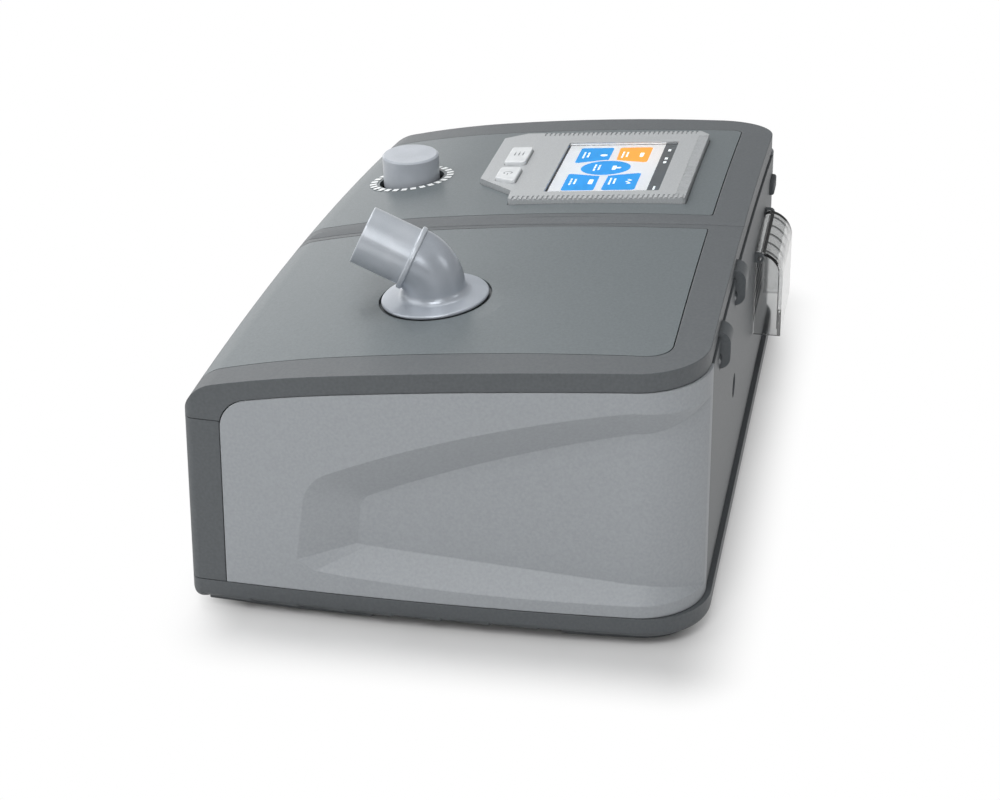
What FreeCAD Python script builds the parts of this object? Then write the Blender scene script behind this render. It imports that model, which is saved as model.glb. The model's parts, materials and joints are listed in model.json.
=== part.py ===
import FreeCAD, Part
import math
import os
from FreeCAD import Placement, Rotation, Vector

# Bedside positive-airway-pressure machine: blower unit on the -X side under a
# control cover, heated humidifier on the +X side under a hinged lid.
# Millimetres. +Z up, user side -Y, back +Y, origin at the bottom centre.

# ---- overall body ----------------------------------------------------------
BODY_LENGTH = 290.0        # X, end face to end face at the bulge
END_BULGE = 3.5            # how far each end face bows out in plan
FRONT_Y = -97.5            # front face, at its +X end
FRONT_TAPER = 3.2          # degrees; the front face runs back towards -X
WALL_BACK_Y = 89.5         # back wall
LID_BACK_Y = 88.7          # back edge of both top covers
BASE_BACK_Y = 91.5         # base tray stands proud of the back wall
FRONT_CORNER_R = 4.0       # plan radius of the two front corners
BACK_CORNER_R = 25.0       # plan radius of the two back corners
WALL = 2.5                 # housing wall
SEAM = 0.3                 # visible gap between housing pieces

# ---- crowned top: large arcs along and across the front, high at the humidifier end
CROWN_TOP_Z = 111.2
CROWN_X = 101.0            # highest cross-section, measured along the front
CROWN_Y = 112.4            # arc centre of that section, measured across the front
CROWN_LONG_R = 1707.0      # arc along the front
CROWN_CROSS_R = 1173.0     # arc across it
KNEE_Y = -45.0             # ahead of this line the cross arc is tighter
KNEE_R = 400.0
FRONT_ROLL_R = 15.0        # top rolls over into the front face

# ---- intake hood on the back wall --------------------------------------------
HOOD_OUT_Y = 101.0         # rearmost face of the whole machine
# the written nodes have their origin midway between the rounded front corner, 0.2
# behind FRONT_Y, and the intake hood
ORIGIN_Y = (FRONT_Y + 0.213 + HOOD_OUT_Y) / 2

# ---- split lines ------------------------------------------------------------
RIM_HEIGHT = 7.4           # side band of the covers above the end panels
PANEL_FRONT_Y = -83.7      # front edge of the light end panels, at the +X end
PANEL_CORNER_R = 12.0      # upper front corner of the end panels
FASCIA_TOP_Z = 78.6        # top of the front fascia under the highest section
PANEL_BACK_X = BODY_LENGTH / 2 - 28.0   # end panels wrap the back corners up to this |x|
BASE_TOP_Z = 12.0
SKIRT_INSET = 5.0
SKIRT_TOP_Z = 4.0
SKIRT_BOTTOM_Z = 1.2
COVER_SPLIT_X = 4.6        # control cover | humidifier lid
VALLEY_DEPTH = 1.1         # shallow V where the two covers meet
VALLEY_WIDTH = 6.0

# ---- inlay panels in the covers ----------------------------------------------
INLAY_T = 1.6
INLAY_LINE = 0.4           # dark line round an inlay
LID_INLAY_X = (10.5, BODY_LENGTH / 2 - 16.0)
CONTROL_INLAY_X = (20.0 - BODY_LENGTH / 2, -5.3)
INLAY_BACK_Y = 75.3
INLAY_OUTER_R = 9.0        # corner of the lid inlay at the body's end
INLAY_FAR_R = 4.0          # the same corner of the control inlay
INLAY_SEAM_R = 1.2         # inlay corners beside the seam between the covers
INLAY_FRONT_DROP = 9.0     # the inlays end this far above the fascia

# ---- recess in the end panels ------------------------------------------------
RECESS_DEPTH = 8.0
PANEL_T = 2.6

OUT = "parts"
REACH = 200.0              # past every face of the machine


# ============================ basic shapes ====================================
def box(x0, x1, y0, y1, z0, z1):
    """Block between two corners."""
    return Part.makeBox(x1 - x0, y1 - y0, z1 - z0, Vector(x0, y0, z0))


def cyl(r, z0, z1, x=0.0, y=0.0):
    """Upright cylinder."""
    return Part.makeCylinder(r, z1 - z0, Vector(x, y, z0))


def ring(r_out, r_in, z0, z1, x=0.0, y=0.0):
    """Upright tube."""
    return cyl(r_out, z0, z1, x, y).cut(cyl(r_in, z0 - 1, z1 + 1, x, y))


def round_box(x0, x1, y0, y1, z0, z1, r):
    """Block with rounded upright edges."""
    block = box(x0, x1, y0, y1, z0, z1)
    return block.makeFillet(r, upright_edges(block))


def upright_edges(shape):
    """Straight edges that run along Z."""
    found = []
    for edge in shape.Edges:
        a, b = edge.Vertexes[0].Point, edge.Vertexes[-1].Point
        if abs(a.x - b.x) < 1e-6 and abs(a.y - b.y) < 1e-6 and abs(a.z - b.z) > 1e-3:
            found.append(edge)
    return found


def fuse_all(shapes):
    """One solid from overlapping solids."""
    return shapes[0].multiFuse(shapes[1:]).removeSplitter()


def open_box(x0, x1, y0, y1, z0, z1, r, wall, floor):
    """Rounded tray, open at the top."""
    outer = round_box(x0, x1, y0, y1, z0, z1, r)
    inner = round_box(x0 + wall, x1 - wall, y0 + wall, y1 - wall,
                      z0 + floor, z1 + 5, max(r - wall, 0.5))
    return outer.cut(inner)


# ============================ body envelopes ==================================
# the front face turns about this point; shapes drawn square to it are turned with it
PIVOT = Vector(BODY_LENGTH / 2 - END_BULGE, FRONT_Y, 0)
TAPER = math.radians(FRONT_TAPER)


def turned(shape):
    """Copy of a shape drawn along X, set along the tapered front instead."""
    return shape.copy().rotate(PIVOT, Vector(0, 0, 1), -FRONT_TAPER)


def front_y(x, inset=0.0):
    """Y of the front face at x, moved in by inset."""
    return FRONT_Y + (PIVOT.x - x) * math.tan(TAPER) + inset / math.cos(TAPER)


def along_front(x, y):
    """Distances along and across the front, counted as x and y are at the pivot."""
    dx, dy = x - PIVOT.x, y - PIVOT.y
    return (PIVOT.x + dx * math.cos(TAPER) - dy * math.sin(TAPER),
            PIVOT.y + dx * math.sin(TAPER) + dy * math.cos(TAPER))


def crown_z(x, y):
    """Height of the top surface at (x, y), before the front roll."""
    u, v = along_front(x, y)
    knee = max(KNEE_Y - v, 0.0) ** 2 / 2 * (1 / KNEE_R - 1 / CROWN_CROSS_R)
    return (CROWN_TOP_Z - (u - CROWN_X) ** 2 / (2 * CROWN_LONG_R)
            - (v - CROWN_Y) ** 2 / (2 * CROWN_CROSS_R) - knee)


def crown_slopes(x, y):
    """Rise of the top surface along X and along Y."""
    step = 0.5
    return ((crown_z(x + step, y) - crown_z(x - step, y)) / (2 * step),
            (crown_z(x, y + step) - crown_z(x, y - step)) / (2 * step))


def outline_prism(inset, z0, z1, back_y=WALL_BACK_Y):
    """Plan outline of the body, moved in by inset, as a prism."""
    half = BODY_LENGTH / 2 - inset
    back = back_y - inset
    corner = half - END_BULGE
    a = Vector(-corner, front_y(-corner, inset), z0)
    b = Vector(corner, front_y(corner, inset), z0)
    c, d = Vector(corner, back, z0), Vector(-corner, back, z0)
    right = Part.Arc(b, Vector(half, (b.y + c.y) / 2, z0), c).toShape()
    left = Part.Arc(d, Vector(-half, (a.y + d.y) / 2, z0), a).toShape()
    wire = Part.Wire([Part.makeLine(a, b), right, Part.makeLine(c, d), left])
    prism = Part.Face(wire).extrude(Vector(0, 0, z1 - z0))
    front_edges = [e for e in upright_edges(prism) if e.Vertexes[0].Y < 0]
    prism = prism.makeFillet(max(FRONT_CORNER_R - inset, 1.0), front_edges)
    back_edges = [e for e in upright_edges(prism) if e.Vertexes[0].Y > back - 1]
    return prism.makeFillet(BACK_CORNER_R - inset, back_edges)


def sweep_along_crown(points_and_arcs):
    """Turn a closed YZ section about the crown's long axis, over the whole length.

    The surfaces are made splines, because cuts between the very flat arcs need them.
    """
    face = Part.Face(Part.Wire(points_and_arcs))
    centre = Vector(CROWN_X, 0, CROWN_TOP_Z - CROWN_LONG_R)
    reach = BODY_LENGTH / 2 + 20
    start = math.degrees(math.asin((-reach - CROWN_X) / CROWN_LONG_R))
    stop = math.degrees(math.asin((reach - CROWN_X) / CROWN_LONG_R))
    face = face.rotate(centre, Vector(0, 1, 0), start)
    return turned(face.revolve(centre, Vector(0, 1, 0), stop - start)).toNurbs()


def section_point(y, z):
    """A point of the highest cross-section."""
    return Vector(CROWN_X, y, z)


def cross_centres():
    """Centres (y, z) of the wide cross arc and of the tighter one ahead of the knee."""
    wide = Vector(0, CROWN_Y, CROWN_TOP_Z - CROWN_CROSS_R)
    lean = math.asin((KNEE_Y - CROWN_Y) / CROWN_CROSS_R)
    away = Vector(0, math.sin(lean), math.cos(lean))
    return wide, wide + away * (CROWN_CROSS_R - KNEE_R), away


def on_arc(centre, r, y):
    """Point at y on the upper half of an arc of the section."""
    return section_point(y, centre.z + math.sqrt(r * r - (y - centre.y) ** 2))


def cross_arcs(y0, y1, drop):
    """Edges along the cross arcs lowered by drop, from y0 to y1, and both ends."""
    wide, tight, away = cross_centres()
    knee = wide + away * (CROWN_CROSS_R - drop)
    edges = []
    spans = [(tight, KNEE_R - drop, y0, knee.y), (wide, CROWN_CROSS_R - drop, knee.y, y1)]
    for centre, r, start, stop in spans:
        points = [on_arc(centre, r, y) for y in (start, (start + stop) / 2, stop)]
        edges.append(Part.Arc(*points).toShape())
    return edges, on_arc(tight, KNEE_R - drop, y0), on_arc(wide, CROWN_CROSS_R - drop, y1)


def rolled_corner(edge_y, drop, r):
    """Arc of radius r between an upright line at edge_y and the lowered cross arc."""
    centre = cross_centres()[1]
    cy = edge_y + r
    cz = centre.z + math.sqrt((KNEE_R - drop - r) ** 2 - (cy - centre.y) ** 2)
    low = section_point(edge_y, cz)
    away = Vector(0, cy - centre.y, cz - centre.z).normalize()
    high = section_point(cy + away.y * r, cz + away.z * r)
    mid_dir = (Vector(0, -1, 0) + away).normalize()
    mid = section_point(cy + mid_dir.y * r, cz + mid_dir.z * r)
    return Part.Arc(low, mid, high).toShape(), low, high


def under_crown(drop, edge_y=FRONT_Y, r=FRONT_ROLL_R, low=-60.0):
    """Everything below the top surface lowered by drop, with the rolled front."""
    return rolled_sweep(edge_y + drop, drop, max(r - drop, 0.8), low)


def rolled_sweep(edge_y, drop, r, low):
    """Sweep of the section under the lowered cross arcs, behind edge_y."""
    roll, roll_low, roll_high = rolled_corner(edge_y, drop, r)
    top, _, back = cross_arcs(roll_high.y, 130.0, drop)
    a = section_point(edge_y, low)
    b = section_point(130.0, low)
    return sweep_along_crown([Part.makeLine(a, roll_low), roll] + top
                             + [Part.makeLine(back, b), Part.makeLine(b, a)])


def panel_zone(grow=0.0):
    """Space of the end panels and back wall: behind PANEL_FRONT_Y, under the rim."""
    return rolled_sweep(PANEL_FRONT_Y - grow, RIM_HEIGHT - grow, PANEL_CORNER_R, -60.0)


def fascia_zone(grow=0.0):
    """Space of the front fascia: ahead of PANEL_FRONT_Y, under FASCIA_TOP_Z."""
    y0, y1 = FRONT_Y - 20, PANEL_FRONT_Y + grow
    z1 = FASCIA_TOP_Z + grow
    corners = [section_point(y0, -60), section_point(y0, z1),
               section_point(y1, z1), section_point(y1, -60)]
    corners.append(corners[0])
    return sweep_along_crown([Part.makeLine(p, q) for p, q in zip(corners, corners[1:])])


def export(name, shape):
    """Write one node."""
    if shape.ShapeType == "Compound" and len(shape.Solids) == 1:
        shape = shape.Solids[0]
    print("%-22s solids %d faces %3d volume %9.0f valid %s" % (
        name, len(shape.Solids), len(shape.Faces), shape.Volume, shape.isValid()))
    shape.translated(Vector(0, -ORIGIN_Y, 0)).exportStep("%s/%s.step" % (OUT, name))


# ============================ housing =========================================
BASE_FLOOR_T = 2.5
FRONT_FOOT_R = 6.0         # lower edge of the front face
BASE_BOSS_R = 3.6
BASE_BOSS_TOP = 16.0
POST_X = BODY_LENGTH / 2 - 19.0
COVER_POST_XY = [(-POST_X, -73), (-POST_X, 62), (-4, -81), (-4, 66)]
BAY_POST_XY = [(18, -69), (18, 60), (POST_X, -69), (POST_X, 62)]
SCREW_R = 1.5
SCREW_HEAD_R = 2.8
SCREW_HEAD_T = 1.5
FOOT_X = BODY_LENGTH / 2 - 27.0
FOOT_XY = [(-FOOT_X, -63), (-FOOT_X, 68), (FOOT_X, -76), (FOOT_X, 68)]
FOOT_R = 7.0
FOOT_DEPTH = 1.0


def front_foot_roll():
    """Cutter that rounds the lower edge of the front face."""
    r = FRONT_FOOT_R
    corner = box(-REACH, REACH, FRONT_Y - 1, FRONT_Y + r, SKIRT_TOP_Z - 1, SKIRT_TOP_Z + r)
    return turned(corner.cut(along_x(r, -REACH, REACH, FRONT_Y + r, SKIRT_TOP_Z + r)))


def base_tray():
    """Bottom tray: visible band, inset skirt, floor, screw bosses, vents, foot seats."""
    band = outline_prism(0, SKIRT_TOP_Z, BASE_TOP_Z, BASE_BACK_Y)
    low_edges = [e for e in band.Edges if e.BoundBox.ZMax < SKIRT_TOP_Z + 0.01]
    band = band.makeFillet(2.5, low_edges).cut(front_foot_roll())
    skirt = outline_prism(SKIRT_INSET, SKIRT_BOTTOM_Z, SKIRT_TOP_Z + 1, BASE_BACK_Y)
    inside = outline_prism(WALL, SKIRT_TOP_Z + BASE_FLOOR_T, BASE_TOP_Z + 5, BASE_BACK_Y)
    tray = band.fuse(skirt).cut(inside)
    # hollow under the floor, open downwards, leaves the skirt as a rim
    under = outline_prism(SKIRT_INSET + WALL, SKIRT_BOTTOM_Z - 1, SKIRT_TOP_Z, BASE_BACK_Y)
    tray = tray.cut(under)
    floor_low = SKIRT_TOP_Z
    adds = []
    cuts = []
    for x, y in COVER_POST_XY + BAY_POST_XY:
        adds.append(cyl(BASE_BOSS_R, floor_low, BASE_BOSS_TOP, x, y))
        cuts.append(cyl(SCREW_R + 0.2, floor_low - 1, BASE_BOSS_TOP + 1, x, y))
        cuts.append(cyl(SCREW_HEAD_R + 0.2, floor_low - 1, floor_low + SCREW_HEAD_T, x, y))
    for x, y in FOOT_XY:
        adds.append(cyl(FOOT_R + 1.5, SKIRT_BOTTOM_Z + 0.3, floor_low + 1, x, y))
        cuts.append(cyl(FOOT_R + 0.1, SKIRT_BOTTOM_Z - 1, SKIRT_BOTTOM_Z + 0.3 + FOOT_DEPTH, x, y))
    floor_top = floor_low + BASE_FLOOR_T
    # ribs that carry the heater insulator
    for y in (-30, 18):
        adds.append(box(HEATER_X[0], HEATER_X[1], y, y + 2, floor_top - 0.5, INSULATOR_Z))
    # slotted blocks that hold the main circuit board
    for y in (PCB_Y[0], PCB_Y[1] - 8):
        adds.append(box(PCB_X - 2.5, PCB_X + PCB_T + 2.5, y, y + 8, floor_top - 0.5, PCB_Z[0] + 7))
        cuts.append(box(PCB_X - 0.1, PCB_X + PCB_T + 0.1, y - 1, y + 9, PCB_Z[0], PCB_Z[0] + 8))
    # cooling slots under the blower
    for i in range(9):
        x = -96 + i * 7.0
        cuts.append(box(x, x + 3.0, -76, -62, floor_low - 1, floor_low + BASE_FLOOR_T + 1))
    # shallow arches in the long edges of the skirt
    for y in (FRONT_Y + SKIRT_INSET - 1, BASE_BACK_Y - SKIRT_INSET - WALL - 1):
        arch = box(-60, 60, y, y + WALL + 2, SKIRT_BOTTOM_Z - 1, SKIRT_BOTTOM_Z + 1.2)
        cuts.append(turned(arch) if y < 0 else arch)
    for x in (-BODY_LENGTH / 2 + SKIRT_INSET - 1, BODY_LENGTH / 2 - SKIRT_INSET - WALL - 4):
        cuts.append(box(x, x + WALL + 5, -30, 40, SKIRT_BOTTOM_Z - 1, SKIRT_BOTTOM_Z + 1.2))
    tray = tray.multiFuse(adds)
    for tool in cuts:
        tray = tray.cut(tool)
    return tray


def housing_shell(inset, thickness, z0):
    """Upright wall between two plan outlines, from z0 up past the covers."""
    return outline_prism(inset, z0, 130).cut(outline_prism(inset + thickness, z0 - 1, 131))


def front_fascia():
    """Front wall with both front corners and stiffening ribs; its top follows the crown."""
    low = BASE_TOP_Z + SEAM
    shell = housing_shell(0, WALL, low)
    ahead = box(-REACH, REACH, FRONT_Y - 1, PANEL_FRONT_Y - SEAM / 2, low, 130)
    wall = shell.common(turned(ahead))
    wall = wall.common(fascia_zone(-SEAM / 2))
    ribs = []
    for x in (-110, -70, -30, 30, 70, 110):
        top = 42.0 if x < 0 else 60.0
        inner = FRONT_Y + WALL
        ribs.append(turned(box(x - 0.8, x + 0.8, inner - 0.5, inner + 2.5, low, top)))
    return wall.multiFuse(ribs).removeSplitter()


# edge of the recess on the end face and edge of its sunk floor, as (y, z) above the
# base: up the front, round the upper corner, then back in one long arc to the body's
# back corner, where the recess turns and fades out
RECESS_RIM = [(-56.6, 13.0), (-53.9, 36.5), (-50.9, 44.0), (-44.6, 49.1), (5.2, 68.5),
              (65.0, 82.5)]
RECESS_FLOOR = [(-35.6, 18.0), (-34.4, 32.6), (-33.1, 36.1), (-30.2, 38.5), (14.7, 56.6),
                (65.0, 71.6)]
RECESS_RIM_LOW = [(-50.5, 8.9), (65.0, 5.0)]
RECESS_FLOOR_LOW = [(-31.4, 17.4), (65.0, 10.6)]
CORNER_Y = RECESS_RIM[-1][0]


def end_face_x(y):
    """X of the bulged right end face."""
    middle = (FRONT_Y + WALL_BACK_Y) / 2
    return BODY_LENGTH / 2 - END_BULGE * ((y - middle) / (WALL_BACK_Y - middle)) ** 2


def recess_edge(rim, floor, x, rise):
    """Points of a recess edge at plane x: on the floor, on the end face or past it."""
    floor_x = BODY_LENGTH / 2 - RECESS_DEPTH
    points = []
    for (ry, rz), (fy, fz) in zip(rim, floor):
        t = (x - floor_x) / (end_face_x(ry) - floor_x)
        points.append(Vector(x, fy + (ry - fy) * t, BASE_TOP_Z + (fz + (rz - fz) * t) * rise))
    return points


def recess_wire(x, rise):
    """Recess outline at plane x."""
    upper = recess_edge(RECESS_RIM, RECESS_FLOOR, x, rise)
    lower = recess_edge(RECESS_RIM_LOW, RECESS_FLOOR_LOW, x, rise)
    return Part.Wire([
        Part.makeLine(lower[0], upper[0]),
        Part.makeLine(upper[0], upper[1]),
        Part.Arc(upper[1], upper[2], upper[3]).toShape(),
        Part.Arc(upper[3], upper[4], upper[5]).toShape(),
        Part.makeLine(upper[5], lower[1]),
        Part.makeLine(lower[1], lower[0])])


def corner_wire(angle, rise):
    """Recess outline in an upright plane through the axis of the back corner."""
    axis_x = end_face_x(CORNER_Y) - BACK_CORNER_R
    floor_r = BODY_LENGTH / 2 - RECESS_DEPTH - axis_x
    fade = math.sin(angle / 2) ** 2 * 2
    inner_r = floor_r + (BACK_CORNER_R + 0.6 - floor_r) * fade
    outer_r = BACK_CORNER_R + 3.5

    def point(r, rim, floor):
        z = floor + (rim - floor) * (r - floor_r) / (BACK_CORNER_R - floor_r)
        return Vector(axis_x + r * math.cos(angle), CORNER_Y + r * math.sin(angle),
                      BASE_TOP_Z + z * rise)

    high = (RECESS_RIM[-1][1], RECESS_FLOOR[-1][1])
    low = (RECESS_RIM_LOW[-1][1], RECESS_FLOOR_LOW[-1][1])
    corners = [point(inner_r, *low), point(outer_r, *low),
               point(outer_r, *high), point(inner_r, *high)]
    return Part.makePolygon(corners + corners[:1])


def recess_cutters(rise):
    """Tapered pocket of the right end panel, and its fading part round the corner."""
    face_x = BODY_LENGTH / 2
    flat = Part.makeLoft([recess_wire(face_x - RECESS_DEPTH, rise),
                          recess_wire(face_x + 2.0, rise)], True, True)
    steps = 6
    sections = [corner_wire(math.pi / 2 * i / steps, rise) for i in range(steps + 1)]
    return [flat, Part.makeLoft(sections, True, False)]


def end_panel(side):
    """Light end panel that wraps the back corner; side is +1 right or -1 left."""
    low = BASE_TOP_Z + SEAM
    height = crown_z(side * BODY_LENGTH / 2, 0) - BASE_TOP_Z
    rise = height / (crown_z(BODY_LENGTH / 2, 0) - BASE_TOP_Z)
    flat, corner = recess_cutters(rise)
    cutters = [flat, corner]
    backings = [flat.translated(Vector(-PANEL_T, 0, 0)),
                corner.translated(Vector(-PANEL_T, -PANEL_T / 2, 0))]
    region = box(PANEL_BACK_X, REACH, -REACH, REACH, low, 130)
    if side < 0:
        shapes = cutters + backings + [region]
        shapes = [shape.mirror(Vector(0, 0, 0), Vector(1, 0, 0)) for shape in shapes]
        cutters, backings, region = shapes[:2], shapes[2:4], shapes[4]
    wall = housing_shell(0, PANEL_T, low)
    body = outline_prism(0, low, 130)
    for backing in backings:
        wall = wall.fuse(backing.common(body))
    for cutter in cutters:
        wall = wall.cut(cutter)
    return wall.common(region).common(panel_zone(-SEAM / 2)).removeSplitter()


# ---- lid hinge ----------------------------------------------------------------
HINGE_Y = 88.6
HINGE_Z = 95.0
HINGE_X = (36.0, 90.0)
ARM_WIDTH = 10.0
ARM_R = 4.6                # arm round the pin
ARM_TOP_Z = 105.0
PIN_R = 1.5
PIN_FIT = 0.05             # running fit of the pins in the arms
EAR_WIDTH = 4.0
ARM_CLEAR = 0.4

# ---- air inlet, power and data openings in the back wall ------------------------
INLET_X = (-85.0, -46.0)
INLET_Z = (39.0, 72.0)
JACK_X = 33.0
JACK_Z = 53.0
JACK_HOLE_R = 4.8
PORT_X = (31.0 - BODY_LENGTH / 2, 39.0 - BODY_LENGTH / 2)
PORT_Z = (74.6, 78.4)

# ---- filter hood ----------------------------------------------------------------
HOOD_X = (-87.0, -44.0)
HOOD_Y = 91.5              # hinge axis of the hood
HOOD_Z = 73.0
HOOD_LOW_Z = 38.0
HOOD_WALL = 1.5
HOOD_PIN_R = 0.8
HOOD_EAR_T = 2.2
HOOD_EAR_X = (HOOD_X[0] - 0.4 - HOOD_EAR_T, HOOD_X[1] + 0.4)

# ---- places of the inner units ----------------------------------------------------
INSULATOR_Z = 16.0
HEATER_X = (42.0, BODY_LENGTH / 2 - 37.0)
HEATER_Y = (-48.0, 38.0)
PCB_X = -119.6
PCB_T = 1.6
PCB_Y = (-60.0, 50.0)
PCB_Z = (8.0, 72.0)


def along_x(shape_r, x0, x1, y, z):
    """Cylinder along X."""
    return Part.makeCylinder(shape_r, x1 - x0, Vector(x0, y, z), Vector(1, 0, 0))


def along_y(shape_r, y0, y1, x, z):
    """Cylinder along Y."""
    return Part.makeCylinder(shape_r, y1 - y0, Vector(x, y0, z), Vector(0, 1, 0))


def rear_panel():
    """Back wall: inlet grille frame, power and data openings, hinge notches and ears."""
    low = BASE_TOP_Z + SEAM
    side = PANEL_BACK_X - SEAM / 2
    wall = housing_shell(0, WALL, low).common(box(-side, side, 60, 100, low, 130))
    wall = wall.common(panel_zone(-0.6))
    adds = []
    cuts = []
    inner_y = WALL_BACK_Y - WALL
    x0, x1 = INLET_X
    z0, z1 = INLET_Z
    # filter collar behind the inlet
    adds.append(box(x0 - 2, x1 + 2, inner_y - 7, inner_y + 0.5, z0 - 2, z1 + 2))
    cuts.append(box(x0, x1, inner_y - 8, WALL_BACK_Y - 1.4, z0, z1))
    # louvre slots through the thin outer skin of the inlet
    for i in range(6):
        z = z0 + 2.5 + i * 5.0
        cuts.append(box(x0 + 2, x1 - 2, WALL_BACK_Y - 3, WALL_BACK_Y + 1, z, z + 3.0))
    # round hole of the power inlet, slot of the data port
    cuts.append(along_y(JACK_HOLE_R, 80, 95, JACK_X, JACK_Z))
    cuts.append(box(PORT_X[0], PORT_X[1], 80, 95, PORT_Z[0], PORT_Z[1]))
    # ears and notches of the two hinges
    half = ARM_WIDTH / 2 + ARM_CLEAR
    for x in HINGE_X:
        ear_low = HINGE_Z - 4.5
        adds.append(box(x - half - EAR_WIDTH, x + half + EAR_WIDTH, 83.0, WALL_BACK_Y,
                        ear_low, HINGE_Z + 4.0))
        cuts.append(box(x - half, x + half, 80, 100, HINGE_Z - ARM_R - 0.6, 120))
        cuts.append(along_x(PIN_R, x - half - EAR_WIDTH + 1, x + half + EAR_WIDTH - 1,
                            HINGE_Y, HINGE_Z))
    # ears of the filter hood
    for x in HOOD_EAR_X:
        adds.append(box(x, x + HOOD_EAR_T, WALL_BACK_Y - 1, HOOD_Y, HOOD_Z - 1.8, HOOD_Z + 1.8))
        adds.append(along_x(1.8, x, x + HOOD_EAR_T, HOOD_Y, HOOD_Z))
        cuts.append(along_x(HOOD_PIN_R + PIN_FIT, x - 1, x + HOOD_EAR_T + 1, HOOD_Y, HOOD_Z))
    wall = wall.multiFuse(adds)
    for tool in cuts:
        wall = wall.cut(tool)
    return wall.removeSplitter()


def hinge_pins():
    """Two steel pins, pressed in the rear panel's ears."""
    half = ARM_WIDTH / 2 + ARM_CLEAR + EAR_WIDTH - 1
    return Part.makeCompound([along_x(PIN_R, x - half, x + half, HINGE_Y, HINGE_Z)
                              for x in HINGE_X])


def hinge_arm(x):
    """Hook of the lid: over the ledge, down outside the wall, round the pin."""
    x0 = x - ARM_WIDTH / 2

    def p(y, z):
        return Vector(x0, y, z)

    inner, outer = HINGE_Y - ARM_R, HINGE_Y + ARM_R
    shoulder = 4.5
    diagonal = shoulder * math.sqrt(0.5)
    top_y = outer - shoulder
    low_z = ARM_TOP_Z - shoulder
    root_y = LID_BACK_Y - WALL
    edges = [
        Part.makeLine(p(inner, HINGE_Z), p(inner, 100.0)),
        Part.makeLine(p(inner, 100.0), p(root_y, 101.6)),
        Part.makeLine(p(root_y, 101.6), p(root_y, ARM_TOP_Z)),
        Part.makeLine(p(root_y, ARM_TOP_Z), p(top_y, ARM_TOP_Z)),
        Part.Arc(p(top_y, ARM_TOP_Z), p(top_y + diagonal, low_z + diagonal),
                 p(outer, low_z)).toShape(),
        Part.makeLine(p(outer, low_z), p(outer, HINGE_Z)),
        Part.Arc(p(outer, HINGE_Z), p(HINGE_Y, HINGE_Z - ARM_R), p(inner, HINGE_Z)).toShape()]
    arm = Part.Face(Part.Wire(edges)).extrude(Vector(ARM_WIDTH, 0, 0))
    return arm.cut(along_x(PIN_R + PIN_FIT, x - 20, x + 20, HINGE_Y, HINGE_Z))


# ============================ top covers ======================================
ELBOW_X = 78.5
ELBOW_Y = -17.5
FLANGE_R = 20.0
FLANGE_GAP = 1.0           # dark ring between the elbow flange and the lid
DISH_R = 30.0
DISH_DEPTH = 1.0
SPIGOT_R = 13.0
SPIGOT_FIT = 0.08
BOSS_R = 19.0
BOSS_LOW = -7.0            # underside of the boss round the spigot
TONGUE_X = (44.0, BODY_LENGTH / 2 - 41.0)
TONGUE_GAP = 1.2

KNOB_X = -60.5
KNOB_Y = -54.3
KNOB_R = 11.6
KNOB_HEIGHT = 10.8
KNOB_HOLE_R = 13.4
KNOB_LEAN_X = 2.0          # degrees, towards -X
KNOB_LEAN_Y = 3.0          # degrees, towards the user

PLATE_X = -65.0
PLATE_Y = 20.5


def slope_frame(x, y, lean_x=None, lean_y=None):
    """Placement with its origin on the top surface and Z along the normal there."""
    rise_x, rise_y = crown_slopes(x, y)
    if lean_x is None:
        lean_x = math.degrees(math.atan(rise_x))
    if lean_y is None:
        lean_y = math.degrees(math.atan(rise_y))
    turn = Rotation(Vector(0, 1, 0), -lean_x).multiply(Rotation(Vector(1, 0, 0), lean_y))
    return Placement(Vector(x, y, crown_z(x, y)), turn)


def placed(shape, frame):
    """Copy of a shape moved from its own axes to a frame."""
    moved = shape.copy()
    moved.Placement = frame.multiply(moved.Placement)
    return moved


def elbow_frame():
    """Axis of the elbow: leans with the cross arc only."""
    return slope_frame(ELBOW_X, ELBOW_Y, lean_x=0.0)


def knob_frame():
    """Axis of the control knob."""
    return slope_frame(KNOB_X, KNOB_Y, KNOB_LEAN_X, KNOB_LEAN_Y)


def plate_frame():
    """Plane of the display plate and its keys."""
    return slope_frame(PLATE_X, PLATE_Y)


def cover_zone(thickness_from, thickness_to):
    """Layer of the covers between two depths under the outer surface."""
    outer = outline_prism(thickness_from, 20, 130, LID_BACK_Y)
    outer = outer.common(under_crown(thickness_from))
    inner = outline_prism(thickness_to, 10, 131, LID_BACK_Y)
    inner = inner.common(under_crown(thickness_to))
    layer = outer.cut(inner)
    return layer.cut(panel_zone(SEAM / 2)).cut(fascia_zone(SEAM / 2))


def inlay_prism(x_range, grow):
    """Plan shape of an inlay: round back corners, runs out over the front roll."""
    x0, x1 = x_range[0] - grow, x_range[1] + grow
    block = box(x0, x1, -REACH, INLAY_BACK_Y + grow, 20, 130)
    outer_r = INLAY_OUTER_R if x1 > 0 else INLAY_FAR_R
    for edge in [e for e in upright_edges(block) if e.Vertexes[0].Y > 0]:
        beside_seam = abs(edge.Vertexes[0].X - COVER_SPLIT_X) < 20
        r = INLAY_SEAM_R if beside_seam else outer_r
        corner = [e for e in upright_edges(block)
                  if e.BoundBox.Center.distanceToPoint(edge.BoundBox.Center) < 0.01]
        block = block.makeFillet(r, corner)
    return block


def inlay(x_range, depth, grow):
    """Inlay layer of a cover, down to a line above the fascia."""
    layer = cover_zone(0, depth).common(inlay_prism(x_range, grow))
    drop = fascia_zone(INLAY_FRONT_DROP - grow)
    return layer.cut(drop)


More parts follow.
